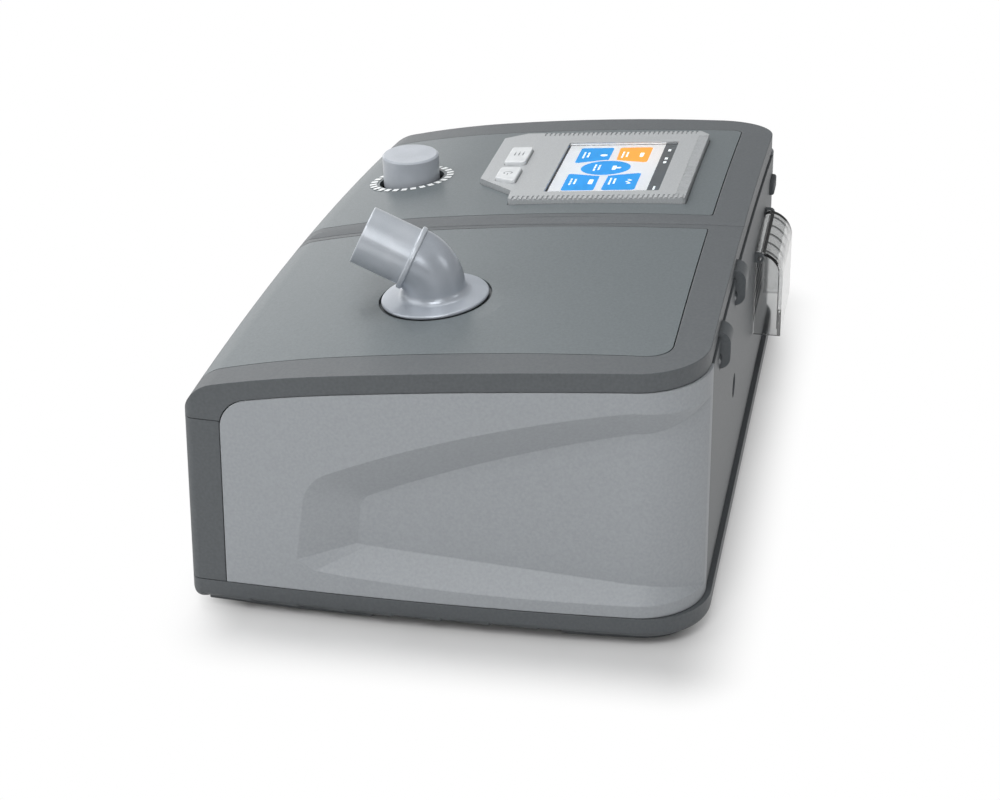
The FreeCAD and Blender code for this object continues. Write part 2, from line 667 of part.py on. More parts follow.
def valley_cutter(x0, x1):
    """Wedge that chamfers one side of the seam between the covers."""
    y0, y1 = FRONT_Y - 5, WALL_BACK_Y + 5

    def surface(x, y, down):
        return Vector(x, y, crown_z(x, y) - down)

    sections = []
    for y in (y0, -75.0, KNEE_Y, -10.0, 40.0, y1):
        a = surface(x1, y, -0.02)
        b = surface(x0, y, VALLEY_DEPTH)
        c = surface(x0, y, -6)
        d = surface(x1, y, -6)
        sections.append(Part.makePolygon([a, b, c, d, a]))
    return Part.makeLoft(sections, True, False)


SEAM_WALL_DROP = 12.0      # depth of the covers' walls beside their common seam
SCREW_BORE_FIT = 0.02


def cover_posts():
    """Screw posts of the control cover, from its inner face down to the base."""
    posts = []
    for x, y in COVER_POST_XY:
        post = cyl(BASE_BOSS_R, BASE_BOSS_TOP + 0.05, 130, x, y)
        bore = cyl(SCREW_R + SCREW_BORE_FIT, BASE_BOSS_TOP - 1, BASE_BOSS_TOP + 12, x, y)
        posts.append(post.common(under_crown(WALL - 0.5)).cut(bore))
    return posts


def seam_wall(x0, x1):
    """Upright wall of a cover beside the seam between the two covers."""
    wall = outline_prism(WALL - 0.3, 20, 130, LID_BACK_Y)
    wall = wall.common(under_crown(WALL - 0.3)).cut(under_crown(WALL + SEAM_WALL_DROP))
    wall = wall.common(box(x0, x1, -REACH, REACH, 0, REACH))
    return wall.cut(panel_zone(SEAM / 2)).cut(fascia_zone(SEAM / 2))


def control_cover():
    """Far cover: shell with inlay pocket, plate recess, knob hole and posts."""
    edge = COVER_SPLIT_X - SEAM / 2
    shell = cover_zone(0, WALL).common(box(-REACH, edge, -REACH, REACH, 0, REACH))
    adds = [seam_wall(edge - WALL, edge)] + cover_posts()
    for x, y in BOARD_SCREW_XY:
        adds.append(placed(board_post(BOARD_Z, PLATE_LOW - 0.6, x, y), plate_frame()))
    for x, y in ENCODER_SCREW_XY:
        post = board_post(ENCODER_LOW, 2.0, x, y)
        adds.append(placed(post, knob_frame()).common(under_crown(1.0)))
    shell = shell.multiFuse(adds)
    shell = shell.cut(valley_cutter(COVER_SPLIT_X + 1, COVER_SPLIT_X - VALLEY_WIDTH))
    shell = shell.cut(inlay(CONTROL_INLAY_X, INLAY_T, INLAY_LINE))
    shell = shell.cut(placed(plate_pocket(PLATE_LOW), plate_frame()))
    shell = shell.fuse(placed(plate_support(), plate_frame()))
    shell = shell.cut(placed(plate_window_way(), plate_frame()))
    for tool in key_rooms():
        shell = shell.cut(placed(tool, plate_frame()))
    return shell.cut(placed(cyl(KNOB_HOLE_R, -20, 20), knob_frame()))


def control_inlay():
    """Overlay of the control cover."""
    panel = inlay(CONTROL_INLAY_X, INLAY_T - 0.1, 0)
    panel = panel.cut(placed(plate_pocket(PLATE_LOW - 1), plate_frame()))
    return panel.cut(placed(cyl(KNOB_HOLE_R, -20, 20), knob_frame()))


def humidifier_lid():
    """Near cover: shell, elbow boss, inlay pocket, front tongues, hinge hooks."""
    edge = COVER_SPLIT_X + SEAM / 2
    shell = cover_zone(0, WALL).common(box(edge, REACH, -REACH, REACH, 0, REACH))
    boss = placed(cyl(BOSS_R + 2.5, BOSS_LOW, 5), elbow_frame()).common(under_crown(0.5))
    adds = [seam_wall(edge, edge + WALL), boss] + [front_tongue(x) for x in TONGUE_X]
    shell = shell.multiFuse(adds + [hinge_arm(x) for x in HINGE_X])
    shell = shell.cut(valley_cutter(COVER_SPLIT_X - 1, COVER_SPLIT_X + VALLEY_WIDTH))
    shell = shell.cut(inlay(LID_INLAY_X, INLAY_T, INLAY_LINE))
    for tool in elbow_seat():
        shell = shell.cut(placed(tool, elbow_frame()))
    for x in HINGE_X:
        shell = shell.cut(along_x(PIN_R + PIN_FIT, x - 20, x + 20, HINGE_Y, HINGE_Z))
    return shell


def front_tongue(x):
    """Tongue inside the lid's front wall that reaches behind the fascia."""
    low = FASCIA_TOP_Z - (x - CROWN_X) ** 2 / (2 * CROWN_LONG_R) - 5.0
    inner = FRONT_Y + WALL
    y0, y1 = inner + TONGUE_GAP, inner + TONGUE_GAP + 1.6
    return turned(fuse_all([box(x - 6, x + 6, inner - 0.4, y1, low + 7, low + 12),
                            box(x - 6, x + 6, y0, y1, low, low + 8)]))


def lid_inlay():
    """Overlay of the humidifier lid, dished round the elbow."""
    panel = inlay(LID_INLAY_X, INLAY_T - 0.1, 0)
    panel = panel.cut(placed(cyl(FLANGE_R + FLANGE_GAP, -20, 20), elbow_frame()))
    dish_r = (DISH_R ** 2 + DISH_DEPTH ** 2) / (2 * DISH_DEPTH)
    ball = Part.makeSphere(dish_r, Vector(0, 0, dish_r - DISH_DEPTH))
    return panel.cut(placed(ball, elbow_frame()))


def elbow_seat():
    """Cutters for the elbow in the lid: flange seat, seal groove, spigot bore."""
    return [cyl(FLANGE_R + FLANGE_GAP, -2.0, 20),
            cyl(SPIGOT_R + SPIGOT_FIT, -30, 20),
            ring(16.4, 14.4, -3.3, -1.5)]


# ============================ elbow ===========================================
BORE_R = 9.0
BEND_R = 12.0              # radius of the bend's centreline
BEND_TUBE_R = 11.6
BEND_START_Z = 4.5
BEND_ANGLE = 60.0
CUFF_R = 11.0              # 22 mm taper-free hose connector
CUFF_BORE_R = 9.4
CUFF_LENGTH = 21.0
COLLAR_R = 12.3
COLLAR_T = 2.0
SPIGOT_LOW = -9.5
CLIP_T = 1.0
CLIP_Z = BOSS_LOW - 0.2 - CLIP_T


def elbow_body():
    """Swivel elbow: spigot, flange with flared foot, bend."""
    def p(r, z):
        return Vector(r, 0, z)

    profile = [
        Part.makeLine(p(0, SPIGOT_LOW), p(SPIGOT_R, SPIGOT_LOW)),
        Part.makeLine(p(SPIGOT_R, SPIGOT_LOW), p(SPIGOT_R, -0.8)),
        Part.makeLine(p(SPIGOT_R, -0.8), p(FLANGE_R - 0.5, -0.8)),
        Part.Arc(p(FLANGE_R - 0.5, -0.8), p(FLANGE_R, -0.1), p(FLANGE_R - 0.5, 0.6)).toShape(),
        Part.makeLine(p(FLANGE_R - 0.5, 0.6), p(14.0, 1.3)),
        Part.Arc(p(14.0, 1.3), p(12.2, 2.4), p(BEND_TUBE_R, BEND_START_Z)).toShape(),
        Part.makeLine(p(BEND_TUBE_R, BEND_START_Z), p(0, BEND_START_Z)),
        Part.makeLine(p(0, BEND_START_Z), p(0, SPIGOT_LOW))]
    foot = Part.Face(Part.Wire(profile)).revolve(Vector(0, 0, 0), Vector(0, 0, 1), 360)
    groove = ring(SPIGOT_R + 1, SPIGOT_R - 1.0, CLIP_Z - 0.1, CLIP_Z + CLIP_T + 0.1)
    bore = cyl(BORE_R, -12, BEND_START_Z).fuse(bend_part(BORE_R))
    return foot.cut(groove).fuse(bend_part(BEND_TUBE_R)).cut(bore)


def bend_part(r):
    """Bent piece of the elbow with tube radius r."""
    rim = Part.Circle(Vector(0, 0, BEND_START_Z), Vector(0, 0, 1), r).toShape()
    disc = Part.Face(Part.Wire([rim]))
    return disc.revolve(Vector(0, -BEND_R, BEND_START_Z), Vector(1, 0, 0), BEND_ANGLE)


def cuff_frame():
    """Start of the straight outlet, Z along the outlet's axis, in elbow axes."""
    a = math.radians(BEND_ANGLE)
    origin = Vector(0, -BEND_R + BEND_R * math.cos(a), BEND_START_Z + BEND_R * math.sin(a))
    return Placement(origin, Rotation(Vector(1, 0, 0), BEND_ANGLE))


def outlet_cuff():
    """Straight outlet with its collar and locating notch."""
    tube = cyl(CUFF_R, 0, CUFF_LENGTH)
    collar = cyl(COLLAR_R, 0, COLLAR_T)
    collar = collar.makeFillet(0.6, [e for e in collar.Edges if len(e.Vertexes) == 1])
    notch = box(-2.2, 2.2, -COLLAR_R - 1, -CUFF_R - 0.3, -1, COLLAR_T + 1)
    body = tube.fuse(collar.cut(notch)).cut(cyl(CUFF_BORE_R, -1, CUFF_LENGTH + 1))
    rim = [e for e in body.Edges if e.BoundBox.ZMin > CUFF_LENGTH - 0.01]
    return body.makeFillet(0.5, rim)


def elbow_seal():
    """O-ring in the lid under the elbow's flange."""
    return Part.makeTorus(15.4, 0.95, Vector(0, 0, -1.95 - 0.2))


def elbow_clip():
    """Snap ring under the lid's boss that keeps the elbow in."""
    clip = ring(SPIGOT_R + 1.9, SPIGOT_R - 0.9, CLIP_Z, CLIP_Z + CLIP_T)
    return clip.cut(box(-2.5, 2.5, 0, 30, -12, 0))


# ============================ display and controls ============================
PLATE_TOP = 1.4
PLATE_LOW = -2.0
PLATE_OUTLINE = [(-47.5, -34.5), (-40.5, -43.5), (18.8, -43.5), (36.5, -28.0),
                 (48.0, -27.5), (48.0, 43.0), (-42.0, 43.0), (-47.5, 39.0)]
WINDOW_X = (-32.0, 38.5)
WINDOW_Y = (-14.5, 31.5)
KEY_FLANGE_T = 1.0
KEY_FLANGE_EDGE = 0.8
KEY_GAP = 0.3
KEY_RISE = 1.5
KEY_TRAVEL = 0.8
KEY_Y = (-36.9, -28.1)
FAR_KEY_X = (-21.5, 0.5)
NEAR_KEY_X = (8.0, 28.0)
NEAR_KEY_SLANT = 6.0
BOARD_Z = -13.0            # top of the control board under the plate plane
BOARD_T = 1.6
BOARD_POST_R = 2.1
BOARD_SCREW_R = 1.0
BOARD_SCREW_XY = [(-45.0, -32.0), (-45.0, 36.5), (45.5, -24.5), (45.5, 40.5)]
PLATE_LEDGE = 5.0          # rim of the cover that carries the plate
PLATE_GAP = 0.25


def polygon_prism(points, z0, z1, grow=0.0):
    """Prism over a polygon, grown outwards by grow."""
    vectors = [Vector(x, y, z0) for x, y in points]
    face = Part.Face(Part.makePolygon(vectors + [vectors[0]]))
    if grow:
        face = Part.Face(face.makeOffset2D(grow, 2).OuterWire)
    prism = face.extrude(Vector(0, 0, z1 - z0))
    if prism.Volume < 0:
        prism.reverse()
    return prism


def plate_pocket(low):
    """Seat of the display plate in the cover and its inlay, down to low."""
    return polygon_prism(PLATE_OUTLINE, low, 12, PLATE_GAP)


def plate_window_way():
    """Way through the cover for the display and the key stems."""
    return polygon_prism(PLATE_OUTLINE, -20, 12, -PLATE_LEDGE)


def plate_support():
    """Thick rim of the cover under the display plate."""
    return polygon_prism(PLATE_OUTLINE, PLATE_LOW - 2.4, PLATE_LOW, PLATE_GAP)


def key_rooms():
    """Room under the plate for the flanges of the two keys."""
    grow = KEY_FLANGE_EDGE + 0.4
    return [rounded_key(FAR_KEY_X, 0, -8, PLATE_LOW, grow, 1.5),
            rounded_key(NEAR_KEY_X, NEAR_KEY_SLANT, -8, PLATE_LOW, grow, 1.5)]


def board_post(low, top, x, y):
    """Post for a board screw, from the board up into the cover."""
    post = cyl(BOARD_POST_R, low + 0.05, top, x, y)
    return post.cut(cyl(BOARD_SCREW_R + SCREW_BORE_FIT, low - 1, low + 5.5, x, y))


def key_outline(x_range, slant):
    """Key outline; slant cuts the corner next to the plate's slanted edge."""
    x0, x1 = x_range
    y0, y1 = KEY_Y
    return [(x0, y0), (x1 - slant, y0), (x1, y1), (x0, y1)]


def rounded_key(x_range, slant, z0, z1, grow, r):
    """Key body with rounded upright edges."""
    prism = polygon_prism(key_outline(x_range, slant), z0, z1, grow)
    return prism.makeFillet(r, upright_edges(prism))


def plate_ribs():
    """Cutters for the fine grooves along three borders of the plate."""
    grooves = []
    pitch = 2.0
    width = 0.9
    depth = 0.5
    z0, z1 = PLATE_TOP - depth, PLATE_TOP + 1
    count = 35
    for i in range(count):
        y = -27.0 + i * pitch
        if y + width < 38.0:
            grooves.append(box(-47.5, -43.3, y, y + width, z0, z1))
        if y + width < 42.0:
            grooves.append(box(43.8, 48.5, y + 1, y + 1 + width, z0, z1))
    for i in range(44):
        x = -41.0 + i * pitch
        grooves.append(box(x, x + width, 38.8, 43.5, z0, z1))
    return grooves


def display_bezel():
    """Silver plate round the display and the keys, grooved along its border."""
    plate = polygon_prism(PLATE_OUTLINE, PLATE_LOW, PLATE_TOP)
    plate = plate.makeFillet(1.5, [e for e in upright_edges(plate)
                                   if e.Vertexes[0].X > 40 or e.Vertexes[0].Y > 30])
    cuts = [round_box(WINDOW_X[0], WINDOW_X[1], WINDOW_Y[0], WINDOW_Y[1], -10, 10, 1.0)]
    cuts.append(rounded_key(FAR_KEY_X, 0, -10, 10, KEY_GAP, 1.6))
    cuts.append(rounded_key(NEAR_KEY_X, NEAR_KEY_SLANT, -10, 10, KEY_GAP, 1.6))
    ribs = Part.makeCompound(plate_ribs())
    for tool in cuts:
        plate = plate.cut(tool)
    return plate.cut(ribs)


def display_window():
    """Clear pane, set a little below the plate."""
    gap = 0.1
    return round_box(WINDOW_X[0] + gap, WINDOW_X[1] - gap, WINDOW_Y[0] + gap,
                     WINDOW_Y[1] - gap, PLATE_LOW, PLATE_TOP - 0.5, 0.9)


def lcd_module():
    """Display panel with its backlight frame, against the pane."""
    panel = box(WINDOW_X[0] - 3, WINDOW_X[1] + 3, WINDOW_Y[0] - 3, WINDOW_Y[1] + 3,
                PLATE_LOW - 4.6, PLATE_LOW - 0.1)
    tabs = [box(x, x + 6, y, y + 4, BOARD_Z, PLATE_LOW - 2.0)
            for x in (WINDOW_X[0], WINDOW_X[1] - 6)
            for y in (WINDOW_Y[0] - 1, WINDOW_Y[1] - 3)]
    return fuse_all([panel] + tabs)


def panel_key(x_range, slant):
    """Key cap with retaining flange and stem."""
    cap = rounded_key(x_range, slant, PLATE_LOW - 1.0, PLATE_TOP + KEY_RISE, 0, 1.3)
    top = [e for e in cap.Edges if e.BoundBox.ZMin > PLATE_TOP + KEY_RISE - 0.01]
    cap = cap.makeFillet(0.5, top)
    flange = rounded_key(x_range, slant, PLATE_LOW - 0.2 - KEY_FLANGE_T, PLATE_LOW - 0.2,
                         KEY_FLANGE_EDGE, 1.5)
    x = (x_range[0] + x_range[1] - slant / 2) / 2
    y = sum(KEY_Y) / 2
    stem = cyl(1.6, BOARD_Z + 6.0, PLATE_LOW - 0.5, x, y)
    return fuse_all([cap, flange, stem])


def key_switches():
    """Two tactile switches on the board under the keys."""
    bodies = []
    for x_range, slant in ((FAR_KEY_X, 0), (NEAR_KEY_X, NEAR_KEY_SLANT)):
        x = (x_range[0] + x_range[1] - slant / 2) / 2
        y = sum(KEY_Y) / 2
        bodies.append(box(x - 3, x + 3, y - 3, y + 3, BOARD_Z, BOARD_Z + 6.0 - KEY_TRAVEL - 0.3))
    return Part.makeCompound(bodies)


def control_board():
    """Circuit board of the display and keys."""
    board = polygon_prism(PLATE_OUTLINE, BOARD_Z - BOARD_T, BOARD_Z, -1.0)
    for x, y in BOARD_SCREW_XY:
        board = board.cut(cyl(BOARD_SCREW_R + 0.2, BOARD_Z - 5, BOARD_Z + 5, x, y))
    return board


ENCODER_TOP = -6.0
ENCODER_LOW = ENCODER_TOP - 7.0
ENCODER_SCREW_XY = [(-11.5, -11.5), (11.5, -11.5), (-11.5, 11.5), (11.5, 11.5)]
SHAFT_R = 3.0
SHAFT_FIT = 0.05
PUSH_TRAVEL = 0.8


def control_knob():
    """Round knob: chamfered cap, side wall, hub on the encoder shaft."""
    cap = cyl(KNOB_R, 0.4, KNOB_HEIGHT)
    top = [e for e in cap.Edges if e.BoundBox.ZMin > KNOB_HEIGHT - 0.01]
    cap = cap.makeChamfer(0.7, top)
    cap = cap.cut(cyl(KNOB_R - 1.6, -1, KNOB_HEIGHT - 2.0))
    hub = ring(SHAFT_R + 1.8, SHAFT_R, 0.4, KNOB_HEIGHT - 1.5)
    skirt = ring(KNOB_R, KNOB_R - 1.6, -2.2, 0.6)
    return fuse_all([cap, hub, skirt])


def encoder_shaft():
    """Shaft of the encoder, pressed in the knob's hub."""
    return cyl(SHAFT_R, ENCODER_TOP - 5.0, KNOB_HEIGHT - 2.2)


def encoder_rotor():
    """Rotating sleeve of the encoder round the push shaft."""
    sleeve = ring(4.6, SHAFT_R + SHAFT_FIT, ENCODER_TOP - 4.0, ENCODER_TOP + 4.0)
    disc = ring(6.2, SHAFT_R + SHAFT_FIT, ENCODER_TOP - 4.0, ENCODER_TOP - 2.6)
    return sleeve.fuse(disc).removeSplitter()


def encoder_body():
    """Fixed housing of the encoder with its push contact and small board."""
    house = box(-7, 7, -7, 7, ENCODER_LOW - 0.5, ENCODER_TOP)
    house = house.cut(cyl(6.4, ENCODER_TOP - 4.2, ENCODER_TOP - 2.4))
    house = house.cut(cyl(4.6 + SHAFT_FIT, ENCODER_TOP - 4.2, ENCODER_TOP + 1))
    house = house.cut(cyl(SHAFT_R + 0.4, ENCODER_TOP - 5.0 - PUSH_TRAVEL - 0.2, ENCODER_TOP))
    half = ENCODER_SCREW_XY[3][0] + BOARD_POST_R
    board = box(-half, half, -half, half, ENCODER_LOW - BOARD_T, ENCODER_LOW)
    for x, y in ENCODER_SCREW_XY:
        board = board.cut(cyl(BOARD_SCREW_R + 0.2, ENCODER_LOW - 5, ENCODER_LOW + 5, x, y))
    return fuse_all([house, board])


def board_screws():
    """Small screws of the control board and of the encoder's board."""
    screws = []
    for xy_list, low, frame in ((BOARD_SCREW_XY, BOARD_Z, plate_frame()),
                                (ENCODER_SCREW_XY, ENCODER_LOW, knob_frame())):
        for x, y in xy_list:
            under = low - BOARD_T
            head = cyl(1.9, under - 1.2, under, x, y)
            shank = cyl(BOARD_SCREW_R, under - 0.5, low + 5.0, x, y)
            screws.append(placed(head.fuse(shank).removeSplitter(), frame))
    return Part.makeCompound(screws)


# ============================ humidifier ======================================
BAY_X = (9.0, BODY_LENGTH / 2 - RECESS_DEPTH - 4.0)
BAY_Y = (-81.0, 72.0)
BAY_Z = 20.0               # underside of the bay floor
BAY_WALL = 2.0
BAY_RIM_DROP = 6.0
SEAL_GAP = 0.3             # lid seal stays this far under the closed lid
INSULATOR_EDGE = 6.0
TUB_X = (BAY_X[0] + 7.0, BAY_X[1] - 6.0)
TUB_Y = (BAY_Y[0] + 6.0, BAY_Y[1] - 6.0)
TUB_Z = 22.6
TUB_RIM_Z = 77.0
TUB_WALL = 2.0
TUB_FLOOR_T = 3.0
TUB_PLATE_T = 1.2
TUB_SEAL_T = 1.2
TUB_LID_T = 2.5
DUCT_Y = -35.0
DUCT_Z = 55.0
DUCT_R = 11.0
DUCT_BORE_R = 9.0
COLLAR_OUT_R = 17.0        # outlet collar of the tub
COLLAR_IN_R = 14.0


def heater_block(grow, z0, z1):
    """Rounded block over the heater area."""
    return round_box(HEATER_X[0] - grow, HEATER_X[1] + grow, HEATER_Y[0] - grow,
                     HEATER_Y[1] + grow, z0, z1, 8.0)


def humidifier_bay():
    """Open box round the water tub, with heater opening and air inlet spigot."""
    bay = open_box(BAY_X[0], BAY_X[1], BAY_Y[0], BAY_Y[1], BAY_Z, 125, 10.0, BAY_WALL, BAY_WALL)
    bay = bay.common(under_crown(BAY_RIM_DROP))
    posts = [cyl(BASE_BOSS_R, BASE_BOSS_TOP + 0.05, BAY_Z + 0.5, x, y) for x, y in BAY_POST_XY]
    spigot = along_x(DUCT_R, BAY_X[0] - 11, BAY_X[0] + 1, DUCT_Y, DUCT_Z)
    bay = bay.multiFuse(posts + [spigot])
    for x, y in BAY_POST_XY:
        bay = bay.cut(cyl(SCREW_R + SCREW_BORE_FIT, 10, BAY_Z + BAY_WALL - 0.8, x, y))
    bay = bay.cut(along_x(DUCT_BORE_R, BAY_X[0] - 12, BAY_X[0] + 3, DUCT_Y, DUCT_Z))
    return bay.cut(heater_block(0.3, BAY_Z - 1, BAY_Z + 5))


def lid_seal():
    """Gasket on the bay's rim under the lid."""
    rim = open_box(BAY_X[0], BAY_X[1], BAY_Y[0], BAY_Y[1], 40, 125, 10.0, BAY_WALL, BAY_WALL)
    rim = rim.common(under_crown(WALL + SEAL_GAP))
    return rim.cut(under_crown(BAY_RIM_DROP))


def heater_plate():
    """Metal warming plate in the bay floor."""
    return heater_block(0, BAY_Z, TUB_Z)


def heater_insulator():
    """Insulating block with the element, under the warming plate."""
    return heater_block(INSULATOR_EDGE, INSULATOR_Z, BAY_Z)


def tub_body():
    """Water tub with its air inlet tube; the floor takes a metal plate from below."""
    x0, x1 = TUB_X
    y0, y1 = TUB_Y
    tub = open_box(x0, x1, y0, y1, TUB_Z, TUB_RIM_Z, 9.0, TUB_WALL, TUB_FLOOR_T)
    tub = tub.cut(heater_block(4.0, TUB_Z - 1, TUB_Z + TUB_PLATE_T))
    tub = tub.cut(heater_block(0.5, TUB_Z - 1, TUB_Z + 8))
    tub = tub.fuse(along_x(DUCT_R, x0 + 0.5, x0 + 26, DUCT_Y, DUCT_Z))
    return tub.cut(along_x(DUCT_BORE_R + 0.4, x0 - 1, x0 + 30, DUCT_Y, DUCT_Z))


def tub_base_plate():
    """Metal floor of the tub, on the warming plate."""
    return heater_block(3.8, TUB_Z, TUB_Z + TUB_PLATE_T)


def tub_frame(grow, z0, z1):
    """Rounded block over the tub outline."""
    return round_box(TUB_X[0] - grow, TUB_X[1] + grow, TUB_Y[0] - grow, TUB_Y[1] + grow,
                     z0, z1, 9.0 + grow)


def tub_seal():
    """Gasket between tub and tub lid."""
    ring_out = tub_frame(-0.2, TUB_RIM_Z, TUB_RIM_Z + TUB_SEAL_T)
    return ring_out.cut(tub_frame(-2.2, TUB_RIM_Z - 1, TUB_RIM_Z + 3))


def tub_lid():
    """Cover of the tub: plate, stiffening ribs and leaning outlet collar."""
    z0 = TUB_RIM_Z + TUB_SEAL_T
    plate = tub_frame(0.5, z0, z0 + TUB_LID_T)
    ribs = [box(TUB_X[0] + 12, TUB_X[1] - 12, y, y + 1.6, z0 + 1, z0 + 4.5)
            for y in (-70.0, -52.0, 24.0, 46.0)]
    collar = placed(cyl(COLLAR_OUT_R, -24.5, -12), elbow_frame())
    lid = plate.multiFuse(ribs + [collar])
    return lid.cut(placed(cyl(COLLAR_IN_R, -40, 0), elbow_frame())).removeSplitter()


def port_seal():
    """Soft cuff on the tub's collar that meets the boss under the lid."""
    top = BOSS_LOW - SEAL_GAP
    sleeve = ring(COLLAR_OUT_R + 1.8, COLLAR_OUT_R, -16.5, -11.9)
    web = ring(COLLAR_OUT_R + 1.8, SPIGOT_R + 2.6, -11.9, -10.9)
    lip = ring(SPIGOT_R + 4.2, SPIGOT_R + 2.6, -10.9, top)
    return placed(fuse_all([sleeve, web, lip]), elbow_frame())


def duct_coupling():
    """Soft ring between the bay wall and the tub's air inlet."""
    x0, x1 = BAY_X[0] + BAY_WALL, TUB_X[0]
    thick = along_x(DUCT_R + 2, x0, x0 + 1.5, DUCT_Y, DUCT_Z)
    body = thick.fuse(along_x(DUCT_R + 0.5, x0, x1, DUCT_Y, DUCT_Z))
    return body.cut(along_x(DUCT_BORE_R + 0.4, x0 - 1, x1 + 1, DUCT_Y, DUCT_Z)).removeSplitter()


# ============================ blower and air path ==============================
FAN_X = -65.0
FAN_Y = 0.0
CASE_Z = (44.0, 66.0)      # the halves part at the duct's mid height
CASE_WALL = 2.0
SPIRAL_START = -45.0       # degrees
SPIRAL_STOP = 270.0
SPIRAL_R = (33.0, 46.0)
NOZZLE_END_X = -20.0
EYE_R = 13.0
IMPELLER_R = 29.0
IMPELLER_Z = (47.5, 60.0)
BLADE_COUNT = 9
AXLE_R = 2.0
AXLE_FIT = 0.03
BEARING_R = 5.0
BEARING_T = 3.0
MOTOR_R = 19.0
MOTOR_TOP = 75.5
SILENCER_X = (-112.0, -18.0)
SILENCER_Y = (-50.0, 66.0)
SILENCER_Z = (6.5, 38.0)
SILENCER_COVER_T = 2.0
RISER_X = (-89.0, -42.0)
RISER_BACK_Y = 79.8
RISER_TOP_Z = 76.0


def spiral_prism(inset, z0, z1):
    """Snail outline of the fan case with the start of its outlet."""
    points = []
    steps = 9
    for i in range(steps + 1):
        t = i / steps
        a = math.radians(SPIRAL_START + (SPIRAL_STOP - SPIRAL_START) * t)
        r = SPIRAL_R[0] + (SPIRAL_R[1] - SPIRAL_R[0]) * t - inset
        points.append(Vector(FAN_X + r * math.cos(a), FAN_Y + r * math.sin(a), z0))
    curve = Part.BSplineCurve()
    curve.interpolate(points)
    out_x = FAN_X + 30 - inset
    low, high = DUCT_Y - DUCT_R + inset, DUCT_Y + DUCT_R - inset
    last = points[-1]
    a, b = Vector(out_x, low, z0), Vector(out_x, high, z0)
    wire = Part.Wire([curve.toShape(), Part.makeLine(last, a), Part.makeLine(a, b),
                      Part.makeLine(b, points[0])])
    prism = Part.Face(wire).extrude(Vector(0, 0, z1 - z0))
    if prism.Volume < 0:
        prism.reverse()
    return prism


def blower_case():
    """Whole fan case: snail with round outlet, eye below, motor seat above."""
    z0, z1 = CASE_Z
    outer = spiral_prism(0, z0, z1)
    outer = outer.fuse(along_x(DUCT_R, FAN_X + 20, NOZZLE_END_X, DUCT_Y, DUCT_Z))
    inner = spiral_prism(CASE_WALL, z0 + CASE_WALL, z1 - CASE_WALL)
    inner = inner.fuse(along_x(DUCT_BORE_R, FAN_X + 20, NOZZLE_END_X + 1, DUCT_Y, DUCT_Z))
    case = outer.cut(inner)
    case = case.cut(cyl(EYE_R, z0 - 1, z0 + CASE_WALL + 1, FAN_X, FAN_Y))
    return case.cut(cyl(BEARING_R, z1 - CASE_WALL - 1, z1 + 1, FAN_X, FAN_Y))


def blower_half(z0, z1):
    """Half of the fan case between two heights."""
    return blower_case().common(box(-140, 10, -80, 80, z0, z1))


def impeller():
    """Radial fan wheel with backward-curved blades."""
    z0, z1 = IMPELLER_Z
    disc = cyl(IMPELLER_R, z1 - 1.5, z1)
    hub = cyl(5.0, z0 + 2, z1)
    blades = []
    for i in range(BLADE_COUNT):
        arc_out = Part.Arc(Vector(8, 0, 0), Vector(19, 4.5, 0), Vector(26.5, 12.0, 0))
        arc_in = Part.Arc(Vector(26.2, 13.1, 0), Vector(18.6, 5.7, 0), Vector(8, 1.3, 0))
        edges = [arc_out.toShape(), Part.makeLine(arc_out.EndPoint, arc_in.StartPoint),
                 arc_in.toShape(), Part.makeLine(arc_in.EndPoint, arc_out.StartPoint)]
        blade = Part.Face(Part.Wire(edges)).extrude(Vector(0, 0, z1 - 1 - z0))
        if blade.Volume < 0:
            blade.reverse()
        blade = blade.translated(Vector(0, 0, z0))
        blades.append(blade.rotate(Vector(0, 0, 0), Vector(0, 0, 1), 360.0 * i / BLADE_COUNT))
    spokes = [cyl(9.5, z1 - 3.5, z1 - 1)]
    wheel = disc.multiFuse([hub] + spokes + blades)
    wheel = wheel.cut(cyl(AXLE_R, z0 - 1, z1 + 1))
    return wheel.removeSplitter().translated(Vector(FAN_X, FAN_Y, 0))


def motor_rotor():
    """Fan axle with the motor's magnet."""
    axle = cyl(AXLE_R, IMPELLER_Z[0] + 1.5, MOTOR_TOP - 0.5, FAN_X, FAN_Y)
    magnet = cyl(8.0, CASE_Z[1] + 1.5, MOTOR_TOP - 4.8, FAN_X, FAN_Y)
    return axle.fuse(magnet).removeSplitter()


def motor_can():
    """Motor cup on the fan case, with the upper bearing seat."""
    z0 = CASE_Z[1]
    can = cyl(MOTOR_R, z0, MOTOR_TOP, FAN_X, FAN_Y)
    top = [e for e in can.Edges if e.BoundBox.ZMin > MOTOR_TOP - 0.01]
    can = can.makeFillet(1.2, top)
    can = can.cut(cyl(MOTOR_R - 1.5, z0 - 1, MOTOR_TOP - 1.2 - BEARING_T, FAN_X, FAN_Y))
    can = can.cut(cyl(BEARING_R, z0, MOTOR_TOP - 1.2, FAN_X, FAN_Y))
    return can.cut(cyl(AXLE_R + 0.5, z0, MOTOR_TOP + 1, FAN_X, FAN_Y))


def motor_stator():
    """Laminated stator ring with its windings."""
    z0, z1 = CASE_Z[1] + 0.3, MOTOR_TOP - 4.6
    core = ring(MOTOR_R - 1.6, 8.6, z0 + 1.2, z1 - 1.0, FAN_X, FAN_Y)
    coils = []
    for i in range(6):
        a = math.radians(60 * i)
        x, y = FAN_X + 13.0 * math.cos(a), FAN_Y + 13.0 * math.sin(a)
        coils.append(cyl(3.4, z0, z1, x, y))
    return fuse_all([core] + coils)


def blower_bearings():
    """Two bearings of the fan axle."""
    seats = (CASE_Z[1] - CASE_WALL, MOTOR_TOP - 1.2 - BEARING_T)
    return Part.makeCompound([ring(BEARING_R, AXLE_R + AXLE_FIT, z, z + BEARING_T - 0.2,
                                   FAN_X, FAN_Y) for z in seats])


